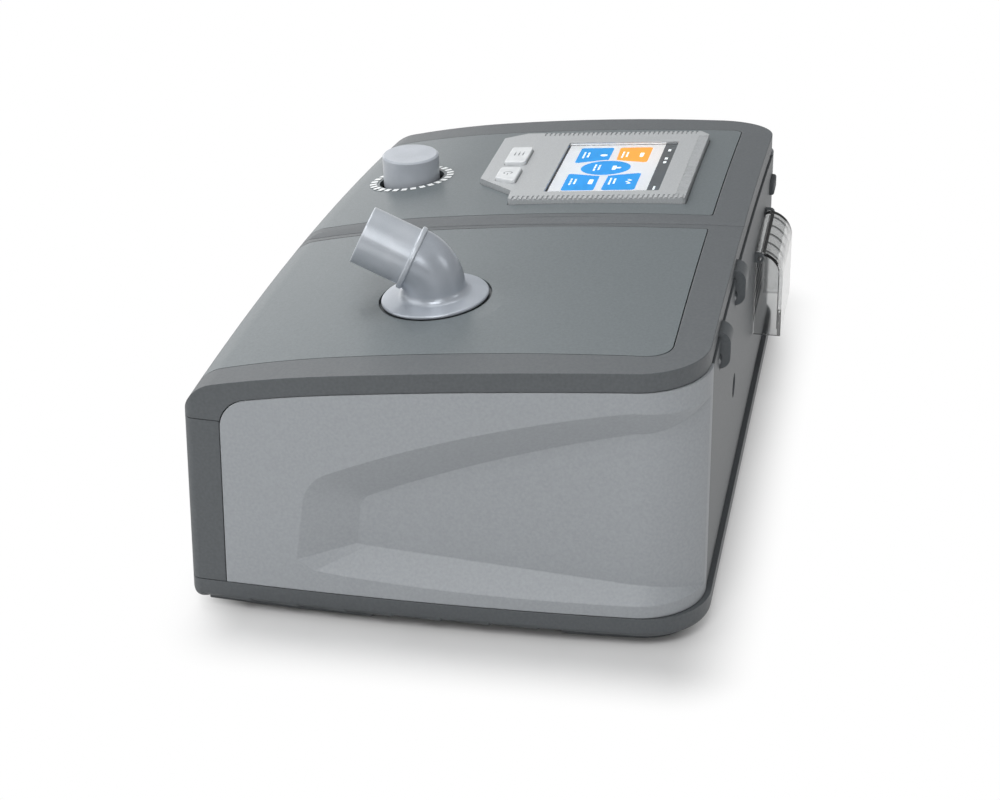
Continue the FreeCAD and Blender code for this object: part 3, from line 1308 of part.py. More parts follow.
def blower_mounts():
    """Soft ring at the fan's eye and three soft pads under its case."""
    z0, z1 = SILENCER_Z[1] + SILENCER_COVER_T, CASE_Z[0]
    mounts = [ring(EYE_R + 4, EYE_R, z0, z1, FAN_X, FAN_Y)]
    for degrees in (60, 180, 310):
        a = math.radians(degrees)
        mounts.append(cyl(4.0, z0, z1, FAN_X + 29 * math.cos(a), FAN_Y + 29 * math.sin(a)))
    return Part.makeCompound(mounts)


def air_duct():
    """Soft sleeve from the fan's outlet to the bay."""
    x0, x1 = NOZZLE_END_X - 6, BAY_X[0] - 3
    sleeve = along_x(DUCT_R + 1.8, x0, x1, DUCT_Y, DUCT_Z)
    for x in (x0, x0 + 11, x0 + 16, x1 - 3):
        sleeve = sleeve.fuse(along_x(DUCT_R + 2.8, x, x + 2.5, DUCT_Y, DUCT_Z))
    return sleeve.cut(along_x(DUCT_R + 0.02, x0 - 1, x1 + 1, DUCT_Y, DUCT_Z)).removeSplitter()


def flow_sensor():
    """Flow sensor saddled on the duct."""
    x0 = NOZZLE_END_X + 12
    body = box(x0 - 1.5, x0 + 7.0, DUCT_Y - 6, DUCT_Y + 6, DUCT_Z + 6, DUCT_Z + DUCT_R + 6.5)
    return body.cut(along_x(DUCT_R + 2.85, x0 - 5, x0 + 12, DUCT_Y, DUCT_Z))


def silencer_box():
    """Intake chamber on the base, with the riser to the filter."""
    x0, x1 = SILENCER_X
    y0, y1 = SILENCER_Y
    z0, z1 = SILENCER_Z
    chamber = open_box(x0, x1, y0, y1, z0, z1, 4.0, 2.0, 2.0)
    rx0, rx1 = RISER_X
    riser = box(rx0, rx1, y1 - 2, RISER_BACK_Y, z0, RISER_TOP_Z)
    hollow = box(rx0 + 2, rx1 - 2, y1, RISER_BACK_Y - 2, z0 + 2, RISER_TOP_Z - 2)
    body = chamber.fuse(riser).cut(hollow)
    body = body.cut(box(rx0 + 4, rx1 - 4, y1 - 5, y1 + 1, z0 + 6, z1 - 4))
    return body.cut(box(INLET_X[0], INLET_X[1], y1 + 1, 85, INLET_Z[0], INLET_Z[1]))


def silencer_cover():
    """Cover of the intake chamber with the fan's eye opening."""
    x0, x1 = SILENCER_X
    y0, y1 = SILENCER_Y
    z1 = SILENCER_Z[1]
    plate = round_box(x0, x1, y0, y1 - 2.2, z1, z1 + SILENCER_COVER_T, 4.0)
    return plate.cut(cyl(EYE_R, z1 - 1, z1 + 5, FAN_X, FAN_Y))


def silencer_foam():
    """Foam lining of the intake chamber."""
    x0, x1 = SILENCER_X
    y0, y1 = SILENCER_Y
    z0, z1 = SILENCER_Z
    foam = round_box(x0 + 2.2, x1 - 2.2, y0 + 2.2, y1 - 2.2, z0 + 2.2, z1 - 0.2, 2.5)
    hollow = round_box(x0 + 14, x1 - 14, y0 + 14, y1 - 14, z0 + 11, z1 + 1, 8.0)
    way = box(RISER_X[0] + 4, RISER_X[1] - 4, y1 - 20, y1, z0 + 11, z1 - 5)
    return foam.cut(hollow).cut(way)


def inlet_filter():
    """Pleated intake filter in its frame."""
    x0, x1 = INLET_X[0] + 0.3, INLET_X[1] - 0.3
    z0, z1 = INLET_Z[0] + 0.3, INLET_Z[1] - 0.3
    back = WALL_BACK_Y - 1.7
    body = box(x0, x1, back - 6.5, back, z0, z1)
    pleats = []
    count = 12
    pitch = (x1 - x0 - 3.0) / count
    for i in range(count):
        a = x0 + 1.5 + i * pitch
        face = Part.Face(Part.makePolygon([
            Vector(a, back + 1, z0 + 1.5), Vector(a + pitch, back + 1, z0 + 1.5),
            Vector(a + pitch / 2, back - 2.5, z0 + 1.5), Vector(a, back + 1, z0 + 1.5)]))
        groove = face.extrude(Vector(0, 0, z1 - z0 - 3.0))
        pleats.append(groove)
    return body.cut(Part.makeCompound(pleats))


# ============================ back: hood, jack, cap ============================
def filter_hood():
    """Clear hood over the intake: rounded top, side walls, inner rib, hinge stubs."""
    x0, x1 = HOOD_X
    roll = HOOD_OUT_Y - HOOD_Y + 1.0
    arc_y = HOOD_OUT_Y - roll
    top = HOOD_Z + 1.7
    arc_z = top - roll

    def profile(x, inset, width):
        r = roll - inset
        outer = HOOD_OUT_Y - inset
        half = r * math.sqrt(0.5)
        rise = top - inset
        edges = [
            Part.makeLine(Vector(x, HOOD_Y, HOOD_LOW_Z), Vector(x, HOOD_Y, rise)),
            Part.Arc(Vector(x, HOOD_Y, rise), Vector(x, arc_y + half, arc_z + half),
                     Vector(x, outer, arc_z)).toShape(),
            Part.makeLine(Vector(x, outer, arc_z), Vector(x, outer, HOOD_LOW_Z)),
            Part.makeLine(Vector(x, outer, HOOD_LOW_Z), Vector(x, HOOD_Y, HOOD_LOW_Z))]
        return Part.Face(Part.Wire(edges)).extrude(Vector(width, 0, 0))

    outer = profile(x0, 0.0, x1 - x0)
    inner = profile(x0 + HOOD_WALL, HOOD_WALL, x1 - x0 - 2 * HOOD_WALL)
    inner = inner.fuse(box(x0 + HOOD_WALL, x1 - HOOD_WALL, HOOD_Y - 5,
                           HOOD_OUT_Y - HOOD_WALL, HOOD_LOW_Z - 5, arc_z - 1))
    sides = [box(x, x + HOOD_WALL, WALL_BACK_Y + 0.6, HOOD_Y + 0.5, HOOD_LOW_Z, HOOD_Z)
             for x in (x0, x1 - HOOD_WALL)]
    barrel = along_x(1.7, x0, x1, HOOD_Y, HOOD_Z)
    stubs = along_x(HOOD_PIN_R, x0 - 0.3 - HOOD_EAR_T, x1 + 0.3 + HOOD_EAR_T, HOOD_Y, HOOD_Z)
    middle = (x0 + x1) / 2
    rib = box(middle - 0.6, middle + 0.6, HOOD_OUT_Y - HOOD_WALL - 1.4, HOOD_OUT_Y - 0.5,
              HOOD_LOW_Z + 2, arc_z - 2)
    hood = outer.cut(inner).multiFuse(sides + [barrel, rib, stubs])
    corner = Part.Face(Part.makePolygon([
        Vector(x0 - 1, WALL_BACK_Y, HOOD_LOW_Z - 1), Vector(x0 + 0.6, WALL_BACK_Y, HOOD_LOW_Z - 1),
        Vector(x0 - 1, WALL_BACK_Y, HOOD_LOW_Z + 8), Vector(x0 - 1, WALL_BACK_Y, HOOD_LOW_Z - 1)]))
    return hood.cut(corner.extrude(Vector(0, 15, 0))).removeSplitter()


def dc_jack():
    """Power inlet with its round socket and centre pin."""
    wall_in = WALL_BACK_Y - WALL
    body = box(JACK_X - 6.5, JACK_X + 6.5, wall_in - 11.5, wall_in - 0.1, JACK_Z - 6.5, JACK_Z + 6.5)
    barrel = along_y(JACK_HOLE_R - 0.2, wall_in - 1, WALL_BACK_Y - 1.0, JACK_X, JACK_Z)
    jack = body.fuse(barrel)
    jack = jack.cut(along_y(3.75, wall_in - 3.8, WALL_BACK_Y, JACK_X, JACK_Z))
    jack = jack.cut(along_y(3.4, wall_in - 8.5, WALL_BACK_Y, JACK_X, JACK_Z))
    pin = along_y(0.8, wall_in - 9, wall_in - 4.0, JACK_X, JACK_Z)
    return jack.fuse(pin).removeSplitter()


def port_cap():
    """Soft cap of the small data port."""
    x0, x1 = PORT_X
    z0, z1 = PORT_Z
    plug = box(x0 + 0.15, x1 - 0.15, WALL_BACK_Y - 3.0, WALL_BACK_Y + 0.5, z0 + 0.15, z1 - 0.15)
    face = box(x0 - 1, x1 + 1, WALL_BACK_Y, WALL_BACK_Y + 2.0, z0 - 0.8, z1 + 0.8)
    outer = [e for e in face.Edges if e.BoundBox.YMin > WALL_BACK_Y + 1.9]
    return plug.fuse(face.makeFillet(1.0, outer)).removeSplitter()


# ============================ boards, feet, screws =============================
def main_pcb():
    """Upright main circuit board."""
    return box(PCB_X, PCB_X + PCB_T, PCB_Y[0], PCB_Y[1], PCB_Z[0], PCB_Z[1])


def pcb_components():
    """Connectors, coils, capacitors and chips of the main board."""
    face = PCB_X + PCB_T
    parts = []
    for y, z in ((-48, 60), (-38, 60), (34, 58)):
        parts.append(Part.makeCylinder(4.0, 7.5, Vector(face, y, z), Vector(1, 0, 0)))
    for y, z, w, h, t in ((-20, 56, 12, 12, 1.4), (4, 55, 16, 10, 1.4), (-46, 30, 10, 14, 3.0),
                          (20, 30, 12, 18, 5.0), (-10, 28, 14, 8, 2.0), (34, 44, 8, 6, 4.5)):
        parts.append(box(face, face + t, y, y + w, z, z + h))
    return Part.makeCompound(parts)


def rubber_feet():
    """Four round feet in the seats of the base."""
    feet = []
    top = SKIRT_BOTTOM_Z + 0.3 + FOOT_DEPTH
    for x, y in FOOT_XY:
        foot = cyl(FOOT_R, 0, top, x, y)
        feet.append(foot.makeChamfer(0.5, [e for e in foot.Edges if e.BoundBox.ZMax < 0.01]))
    return Part.makeCompound(feet)


def base_screws():
    """Screws from below into the cover's and the bay's posts."""
    screws = []
    low = SKIRT_TOP_Z
    for xy_list, tip in ((COVER_POST_XY, BASE_BOSS_TOP + 10), (BAY_POST_XY, BAY_Z + 0.5)):
        for x, y in xy_list:
            head = cyl(SCREW_HEAD_R, low, low + SCREW_HEAD_T, x, y)
            shank = cyl(SCREW_R, low + 0.5, tip, x, y)
            screws.append(head.fuse(shank).removeSplitter())
    return Part.makeCompound(screws)


# ============================ all nodes ========================================
def build():
    """Make and write every node."""
    os.makedirs("parts", exist_ok=True)
    elbow = elbow_frame()
    plate = plate_frame()
    knob = knob_frame()
    case_mid = DUCT_Z
    export("base_tray", base_tray())
    export("front_fascia", front_fascia())
    export("rear_panel", rear_panel())
    export("right_end_panel", end_panel(1))
    export("left_end_panel", end_panel(-1))
    export("control_cover", control_cover())
    export("control_inlay", control_inlay())
    export("humidifier_lid", humidifier_lid())
    export("lid_inlay", lid_inlay())
    export("lid_seal", lid_seal())
    export("hinge_pins", hinge_pins())
    export("elbow_body", placed(elbow_body(), elbow))
    export("outlet_cuff", placed(outlet_cuff(), elbow.multiply(cuff_frame())))
    export("elbow_seal", placed(elbow_seal(), elbow))
    export("elbow_clip", placed(elbow_clip(), elbow))
    export("display_bezel", placed(display_bezel(), plate))
    export("display_window", placed(display_window(), plate))
    export("lcd_module", placed(lcd_module(), plate))
    export("menu_key", placed(panel_key(FAR_KEY_X, 0), plate))
    export("power_key", placed(panel_key(NEAR_KEY_X, NEAR_KEY_SLANT), plate))
    export("key_switches", placed(key_switches(), plate))
    export("control_board", placed(control_board(), plate))
    export("control_knob", placed(control_knob(), knob))
    export("encoder_shaft", placed(encoder_shaft(), knob))
    export("encoder_rotor", placed(encoder_rotor(), knob))
    export("encoder_body", placed(encoder_body(), knob))
    export("board_screws", board_screws())
    export("humidifier_bay", humidifier_bay())
    export("heater_plate", heater_plate())
    export("heater_insulator", heater_insulator())
    export("tub_body", tub_body())
    export("tub_base_plate", tub_base_plate())
    export("tub_seal", tub_seal())
    export("tub_lid", tub_lid())
    export("port_seal", port_seal())
    export("duct_coupling", duct_coupling())
    export("blower_lower_case", blower_half(CASE_Z[0], case_mid))
    export("blower_upper_case", blower_half(case_mid, CASE_Z[1]))
    export("impeller", impeller())
    export("motor_rotor", motor_rotor())
    export("motor_can", motor_can())
    export("motor_stator", motor_stator())
    export("blower_bearings", blower_bearings())
    export("blower_mounts", blower_mounts())
    export("air_duct", air_duct())
    export("flow_sensor", flow_sensor())
    export("silencer_box", silencer_box())
    export("silencer_cover", silencer_cover())
    export("silencer_foam", silencer_foam())
    export("inlet_filter", inlet_filter())
    export("filter_hood", filter_hood())
    export("dc_jack", dc_jack())
    export("port_cap", port_cap())
    export("main_pcb", main_pcb())
    export("pcb_components", pcb_components())
    export("rubber_feet", rubber_feet())
    export("base_screws", base_screws())


build()
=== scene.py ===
import bmesh
import bpy
import json
import math
from mathutils import Matrix, Vector

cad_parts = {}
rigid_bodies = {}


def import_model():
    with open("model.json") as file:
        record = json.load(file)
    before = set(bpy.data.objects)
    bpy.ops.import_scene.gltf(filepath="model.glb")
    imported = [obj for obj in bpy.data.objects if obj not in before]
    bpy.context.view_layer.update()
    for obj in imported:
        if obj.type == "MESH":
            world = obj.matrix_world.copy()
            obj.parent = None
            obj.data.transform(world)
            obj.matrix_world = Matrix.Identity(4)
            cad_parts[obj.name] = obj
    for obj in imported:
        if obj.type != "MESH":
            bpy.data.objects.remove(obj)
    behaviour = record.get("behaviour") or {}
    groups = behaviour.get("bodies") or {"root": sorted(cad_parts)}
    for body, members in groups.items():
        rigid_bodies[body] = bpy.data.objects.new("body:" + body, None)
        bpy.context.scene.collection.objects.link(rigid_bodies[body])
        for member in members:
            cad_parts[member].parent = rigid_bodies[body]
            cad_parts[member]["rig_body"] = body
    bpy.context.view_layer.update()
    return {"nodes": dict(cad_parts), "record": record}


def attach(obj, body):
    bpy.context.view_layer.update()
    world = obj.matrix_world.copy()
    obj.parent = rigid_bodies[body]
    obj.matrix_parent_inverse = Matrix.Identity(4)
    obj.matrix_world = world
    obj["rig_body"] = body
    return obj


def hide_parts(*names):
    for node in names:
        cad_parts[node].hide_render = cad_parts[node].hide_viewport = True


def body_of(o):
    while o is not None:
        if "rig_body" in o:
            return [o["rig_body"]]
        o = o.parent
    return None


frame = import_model()

# Bedside airway-pressure machine. Sizes are in millimetres and angles in degrees. The
# drawing's y is counted from a line ORIGIN_Y in front of the nodes' own origin.
MM = 0.001
ORIGIN_Y = 1.8565

# crowned top
FRONT_TURN = math.radians(3.2)     # the front face and the crown are set at this angle
PIVOT = (141.5, -97.5)     # they turn round this corner of the front
CROWN_TOP_Z = 111.2        # both arcs peak here, at these x and y of the turned axes
CROWN_X = 101.0
CROWN_Y = 112.4
CROWN_LONG_R = 1707.0      # along the front
CROWN_CROSS_R = 1173.0     # from back to front
KNEE_Y = -45.0             # the crown turns down faster ahead of this line
KNEE_R = 400.0             # with this radius

# knob and its printed ring
KNOB_AT = (-60.5, -54.3)
TICKS = 27
TICK_RING_R = 15.9
TICK_SIZE = (2.8, 2.3)     # a dash's length outwards and its width
PRINT_LIFT = 0.02          # least height of a print over the face that carries it

# display plate; what follows is in its own axes, with heights over the crown
PLATE_AT = (-65.0, 20.5)
PANE_LOW = -2.0            # the module's face under the pane
KEY_TOP = 2.9
POWER_KEY_AT = (16.5, -32.5)
MENU_KEY_AT = (-11.4, -32.5)
WINDOW_X = (-32.0, 38.5)
WINDOW_Y = (-14.5, 31.5)
MENU_DISC_AT = (2.0, 5.3)
MENU_DISC_R = 10.2
TILE_CLEARANCE_R = 11.6    # the tiles' corners are cut back to this radius round the disc
STATUS_BAR_Y = 26.0


# ---------------------------------------------------------------- places ----
def crown_z(x, y):
    """Height of the crowned top at (x, y)."""
    dx, dy = x - PIVOT[0], y - PIVOT[1]
    u = PIVOT[0] + dx * math.cos(FRONT_TURN) - dy * math.sin(FRONT_TURN)
    v = PIVOT[1] + dx * math.sin(FRONT_TURN) + dy * math.cos(FRONT_TURN)
    knee = max(KNEE_Y - v, 0.0) ** 2 / 2 * (1 / KNEE_R - 1 / CROWN_CROSS_R)
    return (CROWN_TOP_Z - (u - CROWN_X) ** 2 / (2 * CROWN_LONG_R)
            - (v - CROWN_Y) ** 2 / (2 * CROWN_CROSS_R) - knee)


def crown_point(x, y, above=0.0):
    """Point over the crowned top, in metres."""
    return Vector((x, y - ORIGIN_Y, crown_z(x, y) + above)) * MM


def slope_matrix(x, y):
    """Axes on the crowned top: Z along the normal, millimetres to metres."""
    lean_x = math.atan(crown_z(x + 0.5, y) - crown_z(x - 0.5, y))
    lean_y = math.atan(crown_z(x, y + 0.5) - crown_z(x, y - 0.5))
    turn = Matrix.Rotation(-lean_x, 4, "Y") @ Matrix.Rotation(lean_y, 4, "X")
    return Matrix.Translation(crown_point(x, y)) @ turn @ Matrix.Scale(MM, 4)


# ------------------------------------------------------------- materials ----
def rgb(code):
    """Linear colour of an sRGB hex value."""
    parts = [int(code[i:i + 2], 16) / 255 for i in (1, 3, 5)]
    line = [c / 12.92 if c <= 0.04045 else ((c + 0.055) / 1.055) ** 2.4 for c in parts]
    return (*line, 1.0)


def per_mm(size):
    """Texture scale whose features are about size millimetres."""
    return 1000.0 / size


def add(tree, kind, inputs=None, **settings):
    """A node with its settings; inputs maps sockets to values or to other sockets."""
    node = tree.nodes.new(kind)
    for key, value in settings.items():
        setattr(node, key, value)
    for key, value in (inputs or {}).items():
        if isinstance(value, bpy.types.NodeSocket):
            tree.links.new(value, node.inputs[key])
        else:
            node.inputs[key].default_value = value
    return node


def new_material(name, **surface):
    """A material with a Principled surface; returns it, its tree, surface and place."""
    made = bpy.data.materials.new(name)
    made.use_nodes = True
    tree = made.node_tree
    shader = tree.nodes["Principled BSDF"]
    for key, value in surface.items():
        shader.inputs[key.replace("_", " ")].default_value = value
    place = add(tree, "ShaderNodeTexCoord").outputs["Object"]
    return made, tree, shader, place


def mottle(tree, place, size, dark, light, low=0.35, high=0.65, detail=3.0):
    """Colour that wanders between two tones over patches of a size in millimetres."""
    patches = add(tree, "ShaderNodeTexNoise", {"Vector": place, "Scale": per_mm(size),
                                               "Detail": detail})
    ramp = add(tree, "ShaderNodeValToRGB", {"Fac": patches.outputs["Fac"]})
    ramp.color_ramp.elements[0].position = low
    ramp.color_ramp.elements[0].color = rgb(dark)
    ramp.color_ramp.elements[1].position = high
    ramp.color_ramp.elements[1].color = rgb(light)
    return ramp.outputs["Color"]


def spread(tree, value, low, high):
    """A 0 to 1 value stretched to a range, for roughness."""
    return add(tree, "ShaderNodeMapRange", {"Value": value, "To Min": low,
                                            "To Max": high}).outputs["Result"]


def edge_round(tree, radius):
    """Normal of softly rounded edges, radius in millimetres."""
    return add(tree, "ShaderNodeBevel", {"Radius": radius * MM}, samples=4).outputs["Normal"]


def relief(tree, height, depth, under=None, strength=1.0):
    """Bump of a depth in millimetres, over another normal."""
    inputs = {"Height": height, "Distance": depth * MM, "Strength": strength}
    if under is not None:
        inputs["Normal"] = under
    return add(tree, "ShaderNodeBump", inputs).outputs["Normal"]


def spark_texture(name, dark, light, rough, grain, depth, edge):
    """Injection-moulded plastic with an eroded mould texture of fine grains."""
    made, tree, shader, place = new_material(name, IOR=1.5)
    tree.links.new(mottle(tree, place, 1.1, dark, light, 0.30, 0.70, 4.0),
                   shader.inputs["Base Color"])
    grains = add(tree, "ShaderNodeTexNoise", {"Vector": place, "Scale": per_mm(grain),
                                              "Detail": 2.0, "Roughness": 0.6})
    tree.links.new(spread(tree, grains.outputs["Fac"], rough[0], rough[1]),
                   shader.inputs["Roughness"])
    normal = relief(tree, grains.outputs["Fac"], depth, edge_round(tree, edge))
    tree.links.new(normal, shader.inputs["Normal"])
    return made


def slate_abs():
    # Spark-eroded ABS in slate grey: matt, with a soft broad sheen and fine grain.
    return spark_texture("spark_textured_slate_ABS", "#4d5154", "#55595c", (0.42, 0.58),
                         0.55, 0.035, 0.55)


def slate_overlay():
    # Textured polycarbonate overlay, a shade smoother than the shell round it.
    return spark_texture("textured_slate_PC_overlay", "#5a6164", "#62696c", (0.36, 0.50),
                         0.45, 0.025, 0.25)


def pale_abs():
    # Light grey ABS of the end panels, same mould texture, flatter sheen.
    return spark_texture("spark_textured_pale_grey_ABS", "#92969a", "#9a9ea2", (0.45, 0.6),
                         0.55, 0.03, 0.7)


def satin_silver(name, dark, light, metal=0.0):
    # Silver-pigmented satin ABS: smooth, a blue-grey body with a soft highlight.
    made, tree, shader, place = new_material(name, IOR=1.5, Metallic=metal)
    tree.links.new(mottle(tree, place, 9.0, dark, light), shader.inputs["Base Color"])
    flakes = add(tree, "ShaderNodeTexNoise", {"Vector": place, "Scale": per_mm(0.12),
                                              "Detail": 1.0})
    tree.links.new(spread(tree, flakes.outputs["Fac"], 0.25, 0.33), shader.inputs["Roughness"])
    tree.links.new(edge_round(tree, 0.4), shader.inputs["Normal"])
    return made


def bezel_silver():
    # Sprayed silver on the display plate: metallic flake under a satin coat.
    made, tree, shader, place = new_material("sprayed_silver_plate", IOR=1.5, Metallic=0.35,
                                             Coat_Weight=0.15, Coat_Roughness=0.25)
    tree.links.new(mottle(tree, place, 0.5, "#abaeb0", "#b8bbbd"), shader.inputs["Base Color"])
    flakes = add(tree, "ShaderNodeTexNoise", {"Vector": place, "Scale": per_mm(0.2),
                                              "Detail": 2.0})
    tree.links.new(spread(tree, flakes.outputs["Fac"], 0.36, 0.48), shader.inputs["Roughness"])
    tree.links.new(relief(tree, flakes.outputs["Fac"], 0.01, edge_round(tree, 0.25)),
                   shader.inputs["Normal"])
    return made


def key_white():
    # Off-white satin ABS of the two keys, faintly greyed by fingers.
    made, tree, shader, place = new_material("satin_white_ABS_keys", IOR=1.5, Roughness=0.4)
    tree.links.new(mottle(tree, place, 5.0, "#c6c9cb", "#d0d3d5"), shader.inputs["Base Color"])
    tree.links.new(edge_round(tree, 0.3), shader.inputs["Normal"])
    return made


def pane_acrylic():
    # Clear hard-coated acrylic over the display.
    made, tree, shader, place = new_material("hard_coated_acrylic", IOR=1.49,
                                             Transmission_Weight=1.0, Roughness=0.02,
                                             Base_Color=rgb("#f4f8fa"))
    haze = add(tree, "ShaderNodeTexNoise", {"Vector": place, "Scale": per_mm(25.0)})
    tree.links.new(spread(tree, haze.outputs["Fac"], 0.01, 0.05), shader.inputs["Roughness"])
    return made


def smoked_acrylic(name, dark, light):
    # Smoke-tinted clear polycarbonate: thin, glossy, darker seen on edge.
    made, tree, shader, place = new_material(name, IOR=1.58, Transmission_Weight=1.0)
    tree.links.new(mottle(tree, place, 30.0, dark, light), shader.inputs["Base Color"])
    haze = add(tree, "ShaderNodeTexNoise", {"Vector": place, "Scale": per_mm(4.0)})
    tree.links.new(spread(tree, haze.outputs["Fac"], 0.03, 0.1), shader.inputs["Roughness"])
    return made


def clear_tub():
    # Clear polycarbonate of the water tub, slightly blue in its thickness.
    made, tree, shader, place = new_material("clear_polycarbonate", IOR=1.58,
                                             Transmission_Weight=0.95)
    tree.links.new(mottle(tree, place, 40.0, "#dfe8ee", "#e9f1f5"), shader.inputs["Base Color"])
    haze = add(tree, "ShaderNodeTexNoise", {"Vector": place, "Scale": per_mm(6.0)})
    tree.links.new(spread(tree, haze.outputs["Fac"], 0.04, 0.16), shader.inputs["Roughness"])
    tree.links.new(edge_round(tree, 0.4), shader.inputs["Normal"])
    return made


def lcd_frame():
    # Pressed backlight frame of the display, white with a dull sheen.
    made, tree, shader, place = new_material("white_backlight_frame", IOR=1.5, Roughness=0.5)
    tree.links.new(mottle(tree, place, 12.0, "#d8dadb", "#e3e5e6"), shader.inputs["Base Color"])
    return made


def solder_mask():
    # Glass-epoxy board: green mask with copper tracks showing as paler lines.
    made, tree, shader, place = new_material("green_solder_mask", IOR=1.52, Roughness=0.3)
    tracks = add(tree, "ShaderNodeTexBrick", {
        "Vector": place, "Color1": rgb("#1c5a37"), "Color2": rgb("#1a5233"),
        "Mortar": rgb("#2f7a4e"), "Scale": per_mm(2.4), "Mortar Size": 0.06}, offset=0.37)
    tree.links.new(tracks.outputs["Color"], shader.inputs["Base Color"])
    tree.links.new(relief(tree, tracks.outputs["Fac"], 0.03), shader.inputs["Normal"])
    return made


def moulded_black():
    # Black moulded thermoset of chips and sockets, dull with fine grain.
    made, tree, shader, place = new_material("moulded_black_epoxy", IOR=1.5)
    tree.links.new(mottle(tree, place, 1.0, "#1d1e20", "#26282a"), shader.inputs["Base Color"])
    grains = add(tree, "ShaderNodeTexNoise", {"Vector": place, "Scale": per_mm(0.3)})
    tree.links.new(spread(tree, grains.outputs["Fac"], 0.45, 0.65), shader.inputs["Roughness"])
    tree.links.new(relief(tree, grains.outputs["Fac"], 0.02), shader.inputs["Normal"])
    return made


def ground_steel():
    # Centreless-ground steel: fine rings of grinding round the pin.
    made, tree, shader, place = new_material("ground_steel", Metallic=1.0)
    tree.links.new(mottle(tree, place, 3.0, "#b0b2b4", "#bcbec0"), shader.inputs["Base Color"])
    rings = add(tree, "ShaderNodeTexNoise", {"Vector": place, "Scale": per_mm(0.15),
                                             "Detail": 4.0})
    tree.links.new(spread(tree, rings.outputs["Fac"], 0.18, 0.34), shader.inputs["Roughness"])
    return made


def zinc_steel():
    # Zinc-plated screw steel, slightly clouded.
    made, tree, shader, place = new_material("zinc_plated_steel", Metallic=1.0)
    tree.links.new(mottle(tree, place, 1.2, "#9fa3a5", "#b4b8ba"), shader.inputs["Base Color"])
    cloud = add(tree, "ShaderNodeTexNoise", {"Vector": place, "Scale": per_mm(0.7)})
    tree.links.new(spread(tree, cloud.outputs["Fac"], 0.28, 0.45), shader.inputs["Roughness"])
    return made


def brushed_aluminium():
    # Aluminium brushed along X: long fine scratches, streaked highlights.
    made, tree, shader, place = new_material("brushed_aluminium", Metallic=1.0,
                                             Base_Color=rgb("#c4c6c8"))
    along = add(tree, "ShaderNodeMapping", {"Vector": place, "Scale": (0.04, 1.0, 1.0)})
    lines = add(tree, "ShaderNodeTexNoise", {"Vector": along.outputs["Vector"],
                                             "Scale": per_mm(0.35), "Detail": 4.0})
    tree.links.new(spread(tree, lines.outputs["Fac"], 0.25, 0.5), shader.inputs["Roughness"])
    tree.links.new(relief(tree, lines.outputs["Fac"], 0.01), shader.inputs["Normal"])
    return made


def pressed_fibre():
    # Pressed mineral fibre under the heater: dry, flecked, straw coloured.
    made, tree, shader, place = new_material("pressed_mineral_fibre", Roughness=0.9)
    tree.links.new(mottle(tree, place, 1.5, "#a89a78", "#c4b692", detail=6.0),
                   shader.inputs["Base Color"])
    fibres = add(tree, "ShaderNodeTexNoise", {"Vector": place, "Scale": per_mm(0.8),
                                              "Detail": 6.0})
    tree.links.new(relief(tree, fibres.outputs["Fac"], 0.15), shader.inputs["Normal"])
    return made


def plain_plastic(name, dark, light, rough):
    """Plain moulded plastic: an even satin with faint flow marks where it filled."""
    made, tree, shader, place = new_material(name, IOR=1.5)
    tree.links.new(mottle(tree, place, 18.0, dark, light), shader.inputs["Base Color"])
    flow = add(tree, "ShaderNodeTexNoise", {"Vector": place, "Scale": per_mm(3.0)})
    tree.links.new(spread(tree, flow.outputs["Fac"], rough - 0.06, rough + 0.06),
                   shader.inputs["Roughness"])
    tree.links.new(edge_round(tree, 0.4), shader.inputs["Normal"])
    return made


def silicone():
    # Milky silicone: waxy, light passes a little way in.
    made, tree, shader, place = new_material("milky_silicone", IOR=1.41, Roughness=0.45,
                                             Subsurface_Weight=0.25)
    shader.inputs["Subsurface Radius"].default_value = (0.0015, 0.0015, 0.0015)
    tree.links.new(mottle(tree, place, 8.0, "#c9cccd", "#d6d9da"), shader.inputs["Base Color"])
    return made


def black_rubber():
    # Moulded nitrile rubber: black, matt, faintly bloomed.
    made, tree, shader, place = new_material("moulded_nitrile_rubber", IOR=1.52)
    tree.links.new(mottle(tree, place, 2.5, "#141516", "#202122"), shader.inputs["Base Color"])
    skin = add(tree, "ShaderNodeTexNoise", {"Vector": place, "Scale": per_mm(0.6),
                                            "Detail": 4.0})
    tree.links.new(spread(tree, skin.outputs["Fac"], 0.6, 0.85), shader.inputs["Roughness"])
    tree.links.new(relief(tree, skin.outputs["Fac"], 0.03, edge_round(tree, 0.3)),
                   shader.inputs["Normal"])
    return made


def copper_winding():
    # Enamelled copper wire: orange-brown metal in fine parallel turns.
    made, tree, shader, place = new_material("enamelled_copper_wire", Metallic=1.0,
                                             Coat_Weight=0.6, Roughness=0.35)
    turns = add(tree, "ShaderNodeTexWave", {"Vector": place, "Scale": per_mm(1.6),
                                            "Distortion": 0.4}, bands_direction="Z")
    tree.links.new(mottle(tree, place, 2.0, "#9c5a2c", "#b56c38"), shader.inputs["Base Color"])
    tree.links.new(relief(tree, turns.outputs["Fac"], 0.12), shader.inputs["Normal"])
    return made


def open_foam():
    # Open-cell polyurethane foam, cells of about 1.2 mm.
    made, tree, shader, place = new_material("open_cell_foam", Roughness=0.95)
    cells = add(tree, "ShaderNodeTexVoronoi", {"Vector": place, "Scale": per_mm(1.2)})
    dark = add(tree, "ShaderNodeValToRGB", {"Fac": cells.outputs["Distance"]})
    dark.color_ramp.elements[0].color = rgb("#141415")
    dark.color_ramp.elements[1].color = rgb("#4c4d4f")
    tree.links.new(dark.outputs["Color"], shader.inputs["Base Color"])
    tree.links.new(relief(tree, cells.outputs["Distance"], 0.5), shader.inputs["Normal"])
    return made


